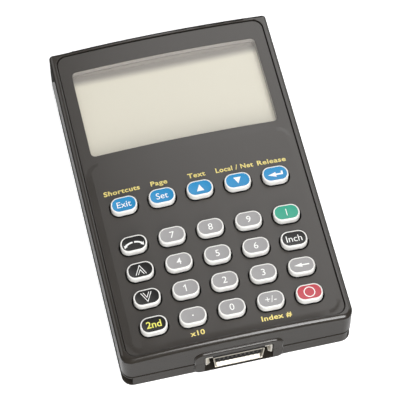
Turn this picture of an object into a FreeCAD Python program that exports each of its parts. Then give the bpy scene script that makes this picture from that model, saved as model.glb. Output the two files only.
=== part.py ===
import FreeCAD, Part
import math
import os

# Handheld operator keypad for a motor drive, as an assembly of its moulded and stamped pieces.
# Millimetres. X runs across the face, Y towards the display end, Z out of the face. The origin
# is on the back face, at the middle of the outline.

Vector = FreeCAD.Vector

# Body outline and arched front
BODY_WIDTH = 66.6
BODY_LENGTH = 104.9
REAR_COVER_HEIGHT = 5.85
FRONT_COVER_HEIGHT = 10.8
ARCH_RADIUS = 368.0
DISPLAY_END_CORNER = 1.0
CONNECTOR_END_CORNER = 3.2
COVER_WALL = 1.8
RIM_ROUNDING = 1.3

# Rim around the recessed faceplate
RIM_SIDE = 1.65
RIM_DISPLAY_END = 1.5
RIM_CONNECTOR_END = 1.45
RIM_STEP = 0.35
FACEPLATE_GAP = 0.15
LEDGE_WIDTH = 1.6
LEDGE_THICKNESS = 1.4
BOND_LINE = 0.05

# Faceplate and its raised key field
FACEPLATE_THICKNESS = 1.6
FACEPLATE_CORNER = 3.0
FACEPLATE_EDGE_BREAK = 0.2
FIELD_RISE = 0.35
FIELD_SLOPE_RUN = 1.9
FIELD_SIDE_MARGIN = 2.4
FIELD_END_MARGIN = 2.1
FIELD_CORNER = 2.6
LABEL_BAND = 12.325

# Display window, which takes the length that the key field leaves
WINDOW_SIDE_MARGIN = 3.5
WINDOW_END_MARGIN = 6.3
WINDOW_ABOVE_FIELD = 3.9
WINDOW_CORNER = 1.5
WINDOW_SIDE_GAP = 0.05
WINDOW_FLANGE = 1.4
WINDOW_FLANGE_THICKNESS = 0.35

# Liquid crystal display stack
DISPLAY_CLEARANCE = 0.75
POLARISER_THICKNESS = 0.15
DISPLAY_GLASS_THICKNESS = 0.55
LIGHT_GUIDE_LEAST = 0.9
GLASS_SIDE_MARGIN = 0.65
GLASS_TOP_MARGIN = 0.7
GLASS_CONTACT_LEDGE = 3.2
REAR_GLASS_MARGIN = 0.7
BEZEL_WALL = 0.8
BEZEL_FIT = 0.15
ELASTOMER_WIDTH = 1.8
ELASTOMER_END_MARGIN = 2.5
ELASTOMER_SPACING = 0.3

# Keys
KEY_WIDTH = 7.7
KEY_DEPTH = 5.15
KEY_CORNER = 2.4
KEY_PROUD = 1.9
KEY_TOP_BREAK = 0.35
KEY_GAP = 0.5
KEY_FLANGE_SPACING = 1.4
KEY_FLANGE_THICKNESS = 0.9
KEY_REST_GAP = 0.1
KEY_TRAVEL = 1.2
KEY_STEM_WIDTH = 4.6
KEY_STEM_DEPTH = 3.2
KEY_STEM_LEAST = 0.4
KEY_SIDE_MARGIN = 2.9
KEY_END_MARGIN = 2.695
KEY_ROW_SPACING = 3.61
FUNCTION_ROW_SPACING = 7.95
KEY_ROWS = (
    ("key_escape", "key_select", "key_up", "key_down", "key_enter"),
    ("key_direction", "key_7", "key_8", "key_9", "key_start"),
    ("key_page_up", "key_4", "key_5", "key_6", "key_jog"),
    ("key_page_down", "key_1", "key_2", "key_3", "key_backspace"),
    ("key_shift", "key_point", "key_0", "key_sign", "key_stop"),
)

# Silicone keypad mat
MAT_SHEET = 0.6
MAT_MARGIN_X = 5.2
MAT_MARGIN_Y = 4.2
MAT_CORNER = 3.6
BELL_TOP_MARGIN = 0.3
BELL_SLOPE_RUN = 0.6
BELL_WEB = 0.5
BELL_CRUSH = 0.3

# Circuit board and chips
BOARD_THICKNESS = 1.6
BOARD_EDGE_GAP = 0.5
BOARD_BOSS_GAP = 0.4
CONTROLLER_SIDE = 12.0
CONTROLLER_THICKNESS = 1.6
CONTROLLER_X = -9.0
CONTROLLER_FROM_TOP = 30.0
MEMORY_WIDTH = 7.6
MEMORY_LENGTH = 5.2
MEMORY_THICKNESS = 1.4
MEMORY_X = 9.0
MEMORY_FROM_TOP = 30.0

# Screws, bosses and board supports
SCREW_SIDE_INSET = 5.7
SCREW_END_INSET = 3.85
SCREW_RADIUS = 0.9
SCREW_HEAD_RADIUS = 1.7
SCREW_HEAD_THICKNESS = 1.2
SCREW_HEAD_SINK = 1.0
SCREW_BITE = 4.0
SCREW_GAP = 0.05
SCREW_HEAD_GAP = 0.25
BOSS_RADIUS = 2.0
BOSS_HEIGHT = 5.0
POST_WALL = 0.9
SUPPORT_RADIUS = 1.5
SUPPORT_X = 20.0
SUPPORTS_FROM_TOP = (14.0, 44.0, 76.0)

# Rear cover
REAR_INSET = 0.05
REAR_FLOOR = 1.8
REVEAL_HEIGHT = 0.8
REVEAL_DEPTH = 1.0
REAR_EDGE_BREAK = 0.45
GUIDE_DEPTH_LEFT = 2.7
GUIDE_DEPTH_RIGHT = 1.5
GUIDE_FLANGE = 1.0
GUIDE_LIP = 0.5
GUIDE_WALL = 1.2
GUIDE_STOP = 12.0
LOCATING_LIP_HEIGHT = 1.2
LOCATING_LIP_WALL = 1.0
LOCATING_LIP_GAP = 0.15

# Connector at the lower end
BUMP_SIDE_WALL = 3.05
BUMP_PROUD = 0.5
BUMP_ABOVE_OPENING = 1.9
BUMP_CORNER = 2.8
BUMP_LOWER_CORNER = 2.0
BUMP_BOTTOM = 0.4
BUMP_EDGE_ROUNDING = 0.5
OPENING_ABOVE_BOARD = 0.8
OPENING_BELOW_SHELL = 1.1
OPENING_CORNER = 0.6
SHELL_WIDTH = 15.0
SHELL_HEIGHT = 5.5
SHELL_SIDE_TAPER = 0.6
SHELL_WALL = 0.3
SHELL_DEPTH = 6.0
SHELL_BELOW_BOARD = 1.1
SHELL_SETBACK = 0.3
SHELL_CORNER = 0.6
SHELL_LIP_DEPTH = 1.1
SHELL_LIP_DROP = 0.5
INSULATOR_SIDE_INSET = 0.25
INSULATOR_BASE_DEPTH = 4.5
TONGUE_SIDE_GAP = 0.05
TONGUE_THICKNESS = 2.2
TONGUE_SETBACK = 0.5
ROOF_SETBACK = 0.15
CONTACT_COUNT = 10
CONTACT_END_MARGIN = 1.05
CONTACT_WIDTH = 0.45
CONTACT_THICKNESS = 0.2
CONTACT_TIP = 0.6
LATCH_WIDTH = 2.1
LATCH_HEIGHT = 4.4
LATCH_WALL = 0.4
LATCH_OUTER_WALL = 0.5
LATCH_TAB_REACH = 1.0
LATCH_TAB_THICKNESS = 0.35
LATCH_SHELL_GAP = 0.05
LATCH_SIDE_GAP = 0.25

# Room that a cutting solid reaches past the face it cuts
CUT_ROOM = 2.0


# Levels and edges that follow from the driving dimensions
Y_TOP = (BODY_LENGTH + BUMP_PROUD) / 2
Y_BOTTOM = Y_TOP - BODY_LENGTH
HALF_WIDTH = BODY_WIDTH / 2
PARTING = REAR_COVER_HEIGHT
RIM_CROWN = REAR_COVER_HEIGHT + FRONT_COVER_HEIGHT

# Arched faces, each as its distance from the arch of the rim
FACE_TOP = -RIM_STEP
FIELD_TOP = FACE_TOP + FIELD_RISE
FACE_UNDER = FACE_TOP - FACEPLATE_THICKNESS
LEDGE_TOP = FACE_UNDER - BOND_LINE
LEDGE_UNDER = LEDGE_TOP - LEDGE_THICKNESS
FLANGE_TOP = FACE_UNDER - BOND_LINE
FLANGE_UNDER = FLANGE_TOP - WINDOW_FLANGE_THICKNESS

# Outlines in plan as (x low, x high, y low, y high)
BODY = (-HALF_WIDTH, HALF_WIDTH, Y_BOTTOM, Y_TOP)
FACE_HALF = HALF_WIDTH - RIM_SIDE - FACEPLATE_GAP
FACE = (
    -FACE_HALF,
    FACE_HALF,
    Y_BOTTOM + RIM_CONNECTOR_END + FACEPLATE_GAP,
    Y_TOP - RIM_DISPLAY_END - FACEPLATE_GAP,
)
BODY_CORNERS = (CONNECTOR_END_CORNER, CONNECTOR_END_CORNER, DISPLAY_END_CORNER, DISPLAY_END_CORNER)


# Keys spread over the field's width, and their rows counted up from the connector end
COLUMNS = len(KEY_ROWS[0])
FIELD_HALF = FACE_HALF - FIELD_SIDE_MARGIN
OUTER_KEY_X = FIELD_HALF - KEY_SIDE_MARGIN - KEY_WIDTH / 2
KEY_PITCH_X = 2 * OUTER_KEY_X / (COLUMNS - 1)
KEY_PITCH_Y = KEY_DEPTH + KEY_ROW_SPACING
FIELD_LOW = FACE[2] + FIELD_END_MARGIN
LAST_ROW_Y = FIELD_LOW + KEY_END_MARGIN + KEY_DEPTH / 2
FIRST_DIGIT_ROW_Y = LAST_ROW_Y + (len(KEY_ROWS) - 2) * KEY_PITCH_Y
FUNCTION_ROW_Y = FIRST_DIGIT_ROW_Y + KEY_DEPTH + FUNCTION_ROW_SPACING
FIELD = (-FIELD_HALF, FIELD_HALF, FIELD_LOW, FUNCTION_ROW_Y + KEY_DEPTH / 2 + LABEL_BAND)
WINDOW = (
    FACE[0] + WINDOW_SIDE_MARGIN,
    FACE[1] - WINDOW_SIDE_MARGIN,
    FIELD[3] + WINDOW_ABOVE_FIELD,
    FACE[3] - WINDOW_END_MARGIN,
)
KEY_FLANGE = (min(KEY_PITCH_X - KEY_WIDTH, KEY_ROW_SPACING) - KEY_FLANGE_SPACING) / 2


def row_y(row):
    """Height along the face of a row of keys, counted from the function row."""
    if row == 0:
        return FUNCTION_ROW_Y
    return FIRST_DIGIT_ROW_Y - (row - 1) * KEY_PITCH_Y


def key_places():
    """Name and plan position of every key."""
    places = []
    for row, names in enumerate(KEY_ROWS):
        for column, name in enumerate(names):
            places.append((name, column * KEY_PITCH_X - OUTER_KEY_X, row_y(row)))
    return places


def arch_z(x, offset):
    """Height of the arched face that lies offset above the rim's arch, at x."""
    return RIM_CROWN - ARCH_RADIUS + math.sqrt((ARCH_RADIUS + offset) ** 2 - x ** 2)


def grown(outline, margin):
    """Outline moved out by margin on all four sides, or in where margin is negative."""
    x_low, x_high, y_low, y_high = outline
    return (x_low - margin, x_high + margin, y_low - margin, y_high + margin)


def centred(x, y, width, depth):
    """Outline of a width by depth rectangle about a point."""
    return (x - width / 2, x + width / 2, y - depth / 2, y + depth / 2)


# Heights of the board and of what stands on it: as high as both the display and the keys allow
KEY_FLANGE_EDGE = OUTER_KEY_X + KEY_WIDTH / 2 + KEY_FLANGE
WINDOW_FLANGE_EDGE = WINDOW[1] + WINDOW_FLANGE
BELL_HEIGHT = KEY_TRAVEL + BELL_CRUSH
DISPLAY_FRONT = arch_z(WINDOW_FLANGE_EDGE, FLANGE_UNDER) - DISPLAY_CLEARANCE
FRONT_GLASS_UNDER = DISPLAY_FRONT - POLARISER_THICKNESS - DISPLAY_GLASS_THICKNESS
DISPLAY_BACK = FRONT_GLASS_UNDER - DISPLAY_GLASS_THICKNESS - POLARISER_THICKNESS
LOWEST_KEY_FLANGE = arch_z(KEY_FLANGE_EDGE, FACE_UNDER) - KEY_REST_GAP - KEY_FLANGE_THICKNESS
BOARD_TOP = min(
    DISPLAY_BACK - LIGHT_GUIDE_LEAST,
    LOWEST_KEY_FLANGE - KEY_STEM_LEAST - BELL_HEIGHT - MAT_SHEET,
)
BOARD_UNDER = BOARD_TOP - BOARD_THICKNESS
BELL_TOP = BOARD_TOP + MAT_SHEET + BELL_HEIGHT
SHELL_TOP = BOARD_UNDER - SHELL_BELOW_BOARD
SHELL_BOTTOM = SHELL_TOP - SHELL_HEIGHT
SHELL_FRONT = Y_BOTTOM - BUMP_PROUD + SHELL_SETBACK
OPENING_TOP = BOARD_UNDER + OPENING_ABOVE_BOARD
OPENING_BOTTOM = SHELL_BOTTOM - OPENING_BELOW_SHELL
BUMP_TOP = OPENING_TOP + BUMP_ABOVE_OPENING
LATCH_INNER = SHELL_WIDTH / 2 + LATCH_SHELL_GAP
LATCH_OUTER = LATCH_INNER + LATCH_WIDTH
OPENING_HALF = LATCH_OUTER + LATCH_SIDE_GAP
BUMP_HALF = OPENING_HALF + BUMP_SIDE_WALL
TONGUE_WIDTH = SHELL_WIDTH - 2 * (SHELL_WALL + SHELL_SIDE_TAPER + TONGUE_SIDE_GAP)
CONTACT_PITCH = (TONGUE_WIDTH - 2 * CONTACT_END_MARGIN) / (CONTACT_COUNT - 1)
SCREW_PLACES = [
    (side * (HALF_WIDTH - SCREW_SIDE_INSET), y)
    for side in (-1, 1)
    for y in (Y_BOTTOM + SCREW_END_INSET, Y_TOP - SCREW_END_INSET)
]


def rounded_wire(outline, corners, place):
    """Closed wire of a rectangle with rounded corners.

    corners runs from the low corner the way the hands of a clock don't turn, and place turns the two
    outline coordinates into a point.
    """
    u_low, u_high, v_low, v_high = outline
    low_left, low_right, high_right, high_left = corners
    turns = (
        (u_low + low_left, v_low + low_left, low_left, math.pi),
        (u_high - low_right, v_low + low_right, low_right, 1.5 * math.pi),
        (u_high - high_right, v_high - high_right, high_right, 0.0),
        (u_low + high_left, v_high - high_left, high_left, 0.5 * math.pi),
    )
    arcs = []
    for u, v, radius, start in turns:
        points = []
        for angle in (start, start + math.pi / 4, start + math.pi / 2):
            points.append(place(u + radius * math.cos(angle), v + radius * math.sin(angle)))
        arcs.append(points)
    edges = []
    for index, points in enumerate(arcs):
        edges.append(Part.Arc(*points).toShape())
        following = arcs[(index + 1) % len(arcs)]
        if points[-1].distanceToPoint(following[0]) > Part.Precision.confusion():
            edges.append(Part.LineSegment(points[-1], following[0]).toShape())
    return Part.Wire(edges)


def slab(outline, corners, z_low, z_high):
    """Upright prism of a rounded outline in plan."""
    if not isinstance(corners, tuple):
        corners = (corners,) * 4
    wire = rounded_wire(outline, corners, lambda u, v: Vector(u, v, z_low))
    return Part.Face(wire).extrude(Vector(0, 0, z_high - z_low))


def end_slab(outline, corners, y_low, y_high):
    """Prism along Y of a rounded outline in the plane of the end wall, as (x, x, z, z)."""
    wire = rounded_wire(outline, corners, lambda u, v: Vector(u, y_low, v))
    return Part.Face(wire).extrude(Vector(0, y_high - y_low, 0))


def block(x_low, x_high, y_low, y_high, z_low, z_high):
    """Square-cornered block between two corners."""
    return Part.makeBox(x_high - x_low, y_high - y_low, z_high - z_low, Vector(x_low, y_low, z_low))


def rod(radius, x, y, z_low, z_high):
    """Upright round rod."""
    return Part.makeCylinder(radius, z_high - z_low, Vector(x, y, z_low))


def below_arch(offset):
    """Everything under the arched face at offset, as far as the body reaches."""
    reach = HALF_WIDTH + CUT_ROOM
    floor = -CUT_ROOM
    left = Vector(-reach, Y_BOTTOM - CUT_ROOM, arch_z(reach, offset))
    right = Vector(reach, Y_BOTTOM - CUT_ROOM, arch_z(reach, offset))
    crown = Vector(0, Y_BOTTOM - CUT_ROOM, arch_z(0, offset))
    low_left = Vector(-reach, Y_BOTTOM - CUT_ROOM, floor)
    low_right = Vector(reach, Y_BOTTOM - CUT_ROOM, floor)
    edges = [
        Part.Arc(left, crown, right).toShape(),
        Part.LineSegment(right, low_right).toShape(),
        Part.LineSegment(low_right, low_left).toShape(),
        Part.LineSegment(low_left, left).toShape(),
    ]
    return Part.Face(Part.Wire(edges)).extrude(Vector(0, BODY_LENGTH + 2 * CUT_ROOM, 0))


def arched_slab(outline, corners, low_offset, high_offset):
    """Sheet of a rounded outline between two arched faces."""
    tall = slab(outline, corners, PARTING, RIM_CROWN + CUT_ROOM)
    return tall.common(below_arch(high_offset)).cut(below_arch(low_offset))


def top_edges(shape):
    """Edges around the uppermost face of a shape."""
    return max(shape.Faces, key=lambda face: face.CenterOfMass.z).Edges


def single(shape):
    """The one solid of a shape, with faces of the same surface joined."""
    return shape.removeSplitter().Solids[0]


def above(shape, z):
    """The part of a shape above a level."""
    x_low, x_high, y_low, y_high = grown(BODY, CUT_ROOM)
    return shape.common(block(x_low, x_high, y_low, y_high, z, RIM_CROWN + CUT_ROOM))


def below(shape, z):
    """The part of a shape below a level."""
    x_low, x_high, y_low, y_high = grown(BODY, CUT_ROOM)
    return shape.common(block(x_low, x_high, y_low, y_high, -CUT_ROOM, z))


def connector_bump():
    """Low raised pad around the connector, shared by both covers."""
    outline = (-BUMP_HALF, BUMP_HALF, BUMP_BOTTOM, BUMP_TOP)
    corners = (BUMP_LOWER_CORNER, BUMP_LOWER_CORNER, BUMP_CORNER, BUMP_CORNER)
    front = Y_BOTTOM - BUMP_PROUD
    pad = end_slab(outline, corners, front, Y_BOTTOM + COVER_WALL)
    face = min(pad.Faces, key=lambda side: side.CenterOfMass.y)
    return pad.makeFillet(BUMP_EDGE_ROUNDING, face.Edges)


def connector_opening():
    """Cut-out in the end wall through which the plug reaches the connector."""
    outline = (-OPENING_HALF, OPENING_HALF, OPENING_BOTTOM, OPENING_TOP)
    corners = (OPENING_CORNER,) * 4
    inside = max(COVER_WALL, GUIDE_WALL + REVEAL_DEPTH) + REAR_INSET + CUT_ROOM
    return end_slab(outline, corners, Y_BOTTOM - BUMP_PROUD - CUT_ROOM, Y_BOTTOM + inside)


def front_cover():
    """Moulded front frame: arched rim, ledge for the faceplate, walls and screw bosses."""
    body = slab(BODY, BODY_CORNERS, PARTING, RIM_CROWN + CUT_ROOM).common(below_arch(0.0))
    body = body.makeFillet(RIM_ROUNDING, top_edges(body))
    recess = slab(
        grown(FACE, FACEPLATE_GAP), FACEPLATE_CORNER + FACEPLATE_GAP, PARTING, RIM_CROWN + CUT_ROOM
    ).cut(below_arch(LEDGE_TOP))
    opening = slab(
        grown(FACE, -LEDGE_WIDTH), FACEPLATE_CORNER - LEDGE_WIDTH, PARTING - CUT_ROOM, RIM_CROWN + CUT_ROOM
    )
    inner_corner = CONNECTOR_END_CORNER - COVER_WALL
    cavity = slab(grown(BODY, -COVER_WALL), inner_corner, PARTING - CUT_ROOM, RIM_CROWN + CUT_ROOM)
    body = body.cut(recess).cut(opening).cut(cavity.common(below_arch(LEDGE_UNDER)))
    bosses = []
    for x, y in SCREW_PLACES:
        boss = rod(BOSS_RADIUS, x, y, PARTING, PARTING + BOSS_HEIGHT)
        wall_y = Y_TOP if y > 0 else Y_BOTTOM
        rib_low, rib_high = sorted((y, wall_y - math.copysign(COVER_WALL / 2, wall_y)))
        rib = block(
            x - BOSS_RADIUS / 2, x + BOSS_RADIUS / 2, rib_low, rib_high, PARTING, PARTING + BOSS_HEIGHT
        )
        bosses += [boss, rib]
    body = body.fuse(bosses + [above(connector_bump(), PARTING)])
    holes = []
    hole_end = PARTING + SCREW_BITE + SCREW_GAP
    for x, y in SCREW_PLACES:
        holes.append(rod(SCREW_RADIUS + SCREW_GAP, x, y, PARTING - CUT_ROOM, hole_end))
    return single(body.cut(holes).cut(connector_opening()))


def faceplate():
    """Recessed arched plate with the window, the raised key field and the key holes."""
    plate = arched_slab(FACE, FACEPLATE_CORNER, FACE_UNDER, FACE_TOP)
    plate = plate.makeChamfer(FACEPLATE_EDGE_BREAK, top_edges(plate))
    skirt = FIELD_RISE
    run = FIELD_SLOPE_RUN * (FIELD_RISE + skirt) / FIELD_RISE
    field = arched_slab(grown(FIELD, run), FIELD_CORNER + run, FACE_TOP - 2 * skirt, FIELD_TOP)
    field = field.makeChamfer(FIELD_RISE + skirt, run, top_edges(field))
    flat = grown(FACE, -FACEPLATE_EDGE_BREAK)
    flat_corner = FACEPLATE_CORNER - FACEPLATE_EDGE_BREAK
    within = slab(flat, flat_corner, PARTING, RIM_CROWN + CUT_ROOM)
    plate = plate.fuse(field.common(within))
    cuts = [slab(WINDOW, WINDOW_CORNER, PARTING, RIM_CROWN + CUT_ROOM)]
    for _, x, y in key_places():
        hole = grown(centred(x, y, KEY_WIDTH, KEY_DEPTH), KEY_GAP)
        cuts.append(slab(hole, KEY_CORNER + KEY_GAP, PARTING, RIM_CROWN + CUT_ROOM))
    return single(plate.cut(cuts))


def display_window():
    """Clear arched window: fills the faceplate's opening, with a flange behind it."""
    pane = arched_slab(
        grown(WINDOW, -WINDOW_SIDE_GAP), WINDOW_CORNER - WINDOW_SIDE_GAP, FLANGE_TOP, FACE_TOP
    )
    flange = arched_slab(
        grown(WINDOW, WINDOW_FLANGE), WINDOW_CORNER + WINDOW_FLANGE, FLANGE_UNDER, FLANGE_TOP
    )
    return single(pane.fuse(flange))


def display_outlines():
    """Plan outlines of the front glass and of the shorter rear glass."""
    x_low, x_high, y_low, y_high = WINDOW
    front = (
        x_low - GLASS_SIDE_MARGIN,
        x_high + GLASS_SIDE_MARGIN,
        y_low - GLASS_CONTACT_LEDGE,
        y_high + GLASS_TOP_MARGIN,
    )
    rear = (front[0], front[1], y_low - REAR_GLASS_MARGIN, front[3])
    return front, rear


def lcd_bezel():
    """White frame that stands on the board and holds the display under the window."""
    front, _ = display_outlines()
    pocket = grown(front, BEZEL_FIT)
    frame = slab(grown(pocket, BEZEL_WALL), BEZEL_WALL, BOARD_TOP, RIM_CROWN)
    frame = frame.common(below_arch(FLANGE_UNDER - BOND_LINE))
    frame = frame.cut(block(*pocket, BOARD_TOP - CUT_ROOM, DISPLAY_FRONT))
    sight = slab(WINDOW, WINDOW_CORNER, BOARD_TOP, RIM_CROWN)
    return single(frame.cut(sight))


def front_polariser():
    """Polarising film on the front glass."""
    _, rear = display_outlines()
    return block(*rear, DISPLAY_FRONT - POLARISER_THICKNESS, DISPLAY_FRONT)


def lcd_front_glass():
    """Front glass of the display, with the contact ledge at its lower edge."""
    front, _ = display_outlines()
    return block(*front, FRONT_GLASS_UNDER, DISPLAY_FRONT - POLARISER_THICKNESS)


def lcd_rear_glass():
    """Rear glass of the display, short of the contact ledge."""
    _, rear = display_outlines()
    return block(*rear, FRONT_GLASS_UNDER - DISPLAY_GLASS_THICKNESS, FRONT_GLASS_UNDER)


def rear_polariser():
    """Half-reflecting film behind the rear glass."""
    _, rear = display_outlines()
    return block(*rear, DISPLAY_BACK, DISPLAY_BACK + POLARISER_THICKNESS)


def light_guide():
    """Light panel between the board and the display."""
    _, rear = display_outlines()
    return block(*rear, BOARD_TOP, DISPLAY_BACK)


def elastomer_strip():
    """Striped rubber connector from the board to the front glass's contact ledge."""
    front, rear = display_outlines()
    y_high = rear[2] - ELASTOMER_SPACING
    return block(
        front[0] + ELASTOMER_END_MARGIN,
        front[1] - ELASTOMER_END_MARGIN,
        y_high - ELASTOMER_WIDTH,
        y_high,
        BOARD_TOP,
        FRONT_GLASS_UNDER,
    )


def key(x, y):
    """Key cap with its arched top, retaining flange and stem."""
    outline = centred(x, y, KEY_WIDTH, KEY_DEPTH)
    flange_edge = abs(x) + KEY_WIDTH / 2 + KEY_FLANGE
    flange_low = arch_z(flange_edge, FACE_UNDER) - KEY_REST_GAP - KEY_FLANGE_THICKNESS
    cap = slab(outline, KEY_CORNER, flange_low, RIM_CROWN + KEY_PROUD + CUT_ROOM)
    cap = cap.common(below_arch(FIELD_TOP + KEY_PROUD))
    cap = cap.makeChamfer(KEY_TOP_BREAK, top_edges(cap))
    flange = block(*grown(outline, KEY_FLANGE), flange_low, RIM_CROWN)
    flange = flange.common(below_arch(FACE_UNDER - KEY_REST_GAP))
    stem = block(*centred(x, y, KEY_STEM_WIDTH, KEY_STEM_DEPTH), BELL_TOP, flange_low)
    return single(cap.fuse([flange, stem]))


def corners_at(outline, z):
    """Corner points of an outline at a level, in turn."""
    x_low, x_high, y_low, y_high = outline
    plan = ((x_low, y_low), (x_high, y_low), (x_high, y_high), (x_low, y_high))
    return [Vector(x, y, z) for x, y in plan]


def bell(foot, head, z_low, z_high):
    """Four-sided bell that narrows from its foot outline to its head outline."""
    low = corners_at(foot, z_low)
    high = corners_at(head, z_high)
    rings = [low[::-1], high]
    for index in range(len(low)):
        after = (index + 1) % len(low)
        rings.append([low[index], low[after], high[after], high[index]])
    faces = [Part.Face(Part.makePolygon(ring + ring[:1])) for ring in rings]
    return Part.Solid(Part.Shell(faces))


def keypad_mat():
    """Silicone sheet with one hollow bell under each key."""
    outline = (
        -OUTER_KEY_X - MAT_MARGIN_X,
        OUTER_KEY_X + MAT_MARGIN_X,
        LAST_ROW_Y - MAT_MARGIN_Y,
        row_y(0) + MAT_MARGIN_Y,
    )
    sheet_top = BOARD_TOP + MAT_SHEET
    sheet = slab(outline, MAT_CORNER, BOARD_TOP, sheet_top)
    bells = []
    hollows = []
    for _, x, y in key_places():
        head = grown(centred(x, y, KEY_STEM_WIDTH, KEY_STEM_DEPTH), BELL_TOP_MARGIN)
        foot = grown(head, BELL_SLOPE_RUN)
        bells.append(bell(foot, head, sheet_top, BELL_TOP))
        hollow_foot = grown(foot, -BELL_WEB)
        hollow_head = grown(head, -BELL_WEB)
        hollows.append(bell(hollow_foot, hollow_head, BOARD_TOP, BELL_TOP - BELL_WEB))
    return single(sheet.fuse(bells).cut(hollows))


def circuit_board():
    """Board that carries the display, the mat and the connector, notched at the screw bosses."""
    edge = COVER_WALL + BOARD_EDGE_GAP
    outline = grown(BODY, -edge)
    board = block(*outline, BOARD_UNDER, BOARD_TOP)
    reach = BOSS_RADIUS + BOARD_BOSS_GAP
    notches = []
    for x, y in SCREW_PLACES:
        x_ends = sorted((x - math.copysign(reach, x), math.copysign(HALF_WIDTH, x)))
        y_ends = sorted((y - math.copysign(reach, y), Y_TOP if y > 0 else Y_BOTTOM))
        notches.append(block(*x_ends, *y_ends, BOARD_UNDER - CUT_ROOM, BOARD_TOP + CUT_ROOM))
    return single(board.cut(notches))


def chip(x, from_top, width, length, thickness):
    """Chip on the underside of the board."""
    return block(*centred(x, Y_TOP - from_top, width, length), BOARD_UNDER - thickness, BOARD_UNDER)


def shell_wire(inset, y):
    """Outline of the connector's shell: wide at the top, drawn in at the bottom."""
    half_top = SHELL_WIDTH / 2 - inset
    half_bottom = half_top - SHELL_SIDE_TAPER
    low = SHELL_BOTTOM + inset
    high = SHELL_TOP - inset
    points = [
        Vector(-half_bottom, y, low),
        Vector(half_bottom, y, low),
        Vector(half_top, y, high),
        Vector(-half_top, y, high),
    ]
    return Part.Wire(Part.makePolygon(points + points[:1]))


def shell_prism(inset, corner, y_low, y_high):
    """Prism of the shell's outline, its long edges rounded."""
    prism = Part.Face(shell_wire(inset, y_low)).extrude(Vector(0, y_high - y_low, 0))
    long_edges = []
    for edge in prism.Edges:
        ends = [vertex.Y for vertex in edge.Vertexes]
        if max(ends) - min(ends) > (y_high - y_low) / 2:
            long_edges.append(edge)
    return prism.makeFillet(corner, long_edges)


def connector_shell():
    """Drawn metal shell around the connector's tongue, its lower lip flared to guide the plug."""
    back = SHELL_FRONT + SHELL_DEPTH
    outer = shell_prism(0.0, SHELL_CORNER, SHELL_FRONT, back)
    inner = shell_prism(SHELL_WALL, SHELL_CORNER - SHELL_WALL, SHELL_FRONT - CUT_ROOM, back + CUT_ROOM)
    half = SHELL_WIDTH / 2 - SHELL_SIDE_TAPER
    straight = half - SHELL_CORNER
    lip_back = SHELL_FRONT + SHELL_LIP_DEPTH
    lip_low = SHELL_BOTTOM - SHELL_LIP_DROP
    mouth = block(
        -straight, straight, SHELL_FRONT - CUT_ROOM, lip_back, lip_low, SHELL_BOTTOM + SHELL_WALL
    )
    section = [
        Vector(-half, SHELL_FRONT, lip_low),
        Vector(-half, lip_back, SHELL_BOTTOM),
        Vector(-half, lip_back, SHELL_BOTTOM + SHELL_WALL),
        Vector(-half, SHELL_FRONT, lip_low + SHELL_WALL),
    ]
    lip = Part.Face(Part.makePolygon(section + section[:1])).extrude(Vector(2 * half, 0, 0))
    return single(outer.cut(inner).cut(mouth).fuse(lip))


def tongue_outline():
    """Width and height limits of the connector's tongue, as (x, x, z, z)."""
    return centred(0.0, (SHELL_TOP + SHELL_BOTTOM) / 2, TONGUE_WIDTH, TONGUE_THICKNESS)


def connector_insulator():
    """Moulded block under the board, with the tongue that carries the contacts."""
    x_low, x_high, z_low, z_high = tongue_outline()
    base_front = SHELL_FRONT + SHELL_DEPTH
    base_back = base_front + INSULATOR_BASE_DEPTH
    base_ends = (INSULATOR_SIDE_INSET - LATCH_OUTER, LATCH_OUTER - INSULATOR_SIDE_INSET)
    base = block(*base_ends, base_front, base_back, SHELL_BOTTOM, BOARD_UNDER)
    tongue_front = SHELL_FRONT + TONGUE_SETBACK
    tongue = block(x_low, x_high, tongue_front, base_front, z_low, z_high)
    roof_ends = (-SHELL_WIDTH / 2, SHELL_WIDTH / 2)
    roof = block(*roof_ends, SHELL_FRONT + ROOF_SETBACK, base_front, SHELL_TOP, BOARD_UNDER)
    return single(base.fuse([tongue, roof]))


def connector_contacts():
    """Contact strips on both faces of the tongue, the upper ones bent down over its front."""
    _, _, z_low, z_high = tongue_outline()
    front = SHELL_FRONT + TONGUE_SETBACK
    back = SHELL_FRONT + SHELL_DEPTH
    strips = []
    for index in range(CONTACT_COUNT):
        x = (index - (CONTACT_COUNT - 1) / 2) * CONTACT_PITCH
        x_ends = (x - CONTACT_WIDTH / 2, x + CONTACT_WIDTH / 2)
        upper = block(*x_ends, front - CONTACT_THICKNESS, back, z_high, z_high + CONTACT_THICKNESS)
        tip = block(*x_ends, front - CONTACT_THICKNESS, front, z_high - CONTACT_TIP, z_high)
        strips.append(single(upper.fuse(tip)))
        strips.append(block(*x_ends, front, back, z_low - CONTACT_THICKNESS, z_low))
    return Part.makeCompound(strips)


def latch_tab(side, low):
    """Spring tab that rises from the foot of an ear's outer wall towards the shell."""
    root = side * (LATCH_OUTER - LATCH_OUTER_WALL / 2)
    tip = root - side * LATCH_TAB_REACH
    section = [
        Vector(root, SHELL_FRONT, low),
        Vector(root, SHELL_FRONT, low + LATCH_TAB_THICKNESS),
        Vector(tip, SHELL_FRONT, low + LATCH_TAB_THICKNESS + LATCH_TAB_REACH),
        Vector(tip, SHELL_FRONT, low + LATCH_TAB_REACH),
    ]
    return Part.Face(Part.makePolygon(section + section[:1])).extrude(Vector(0, SHELL_DEPTH, 0))


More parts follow.
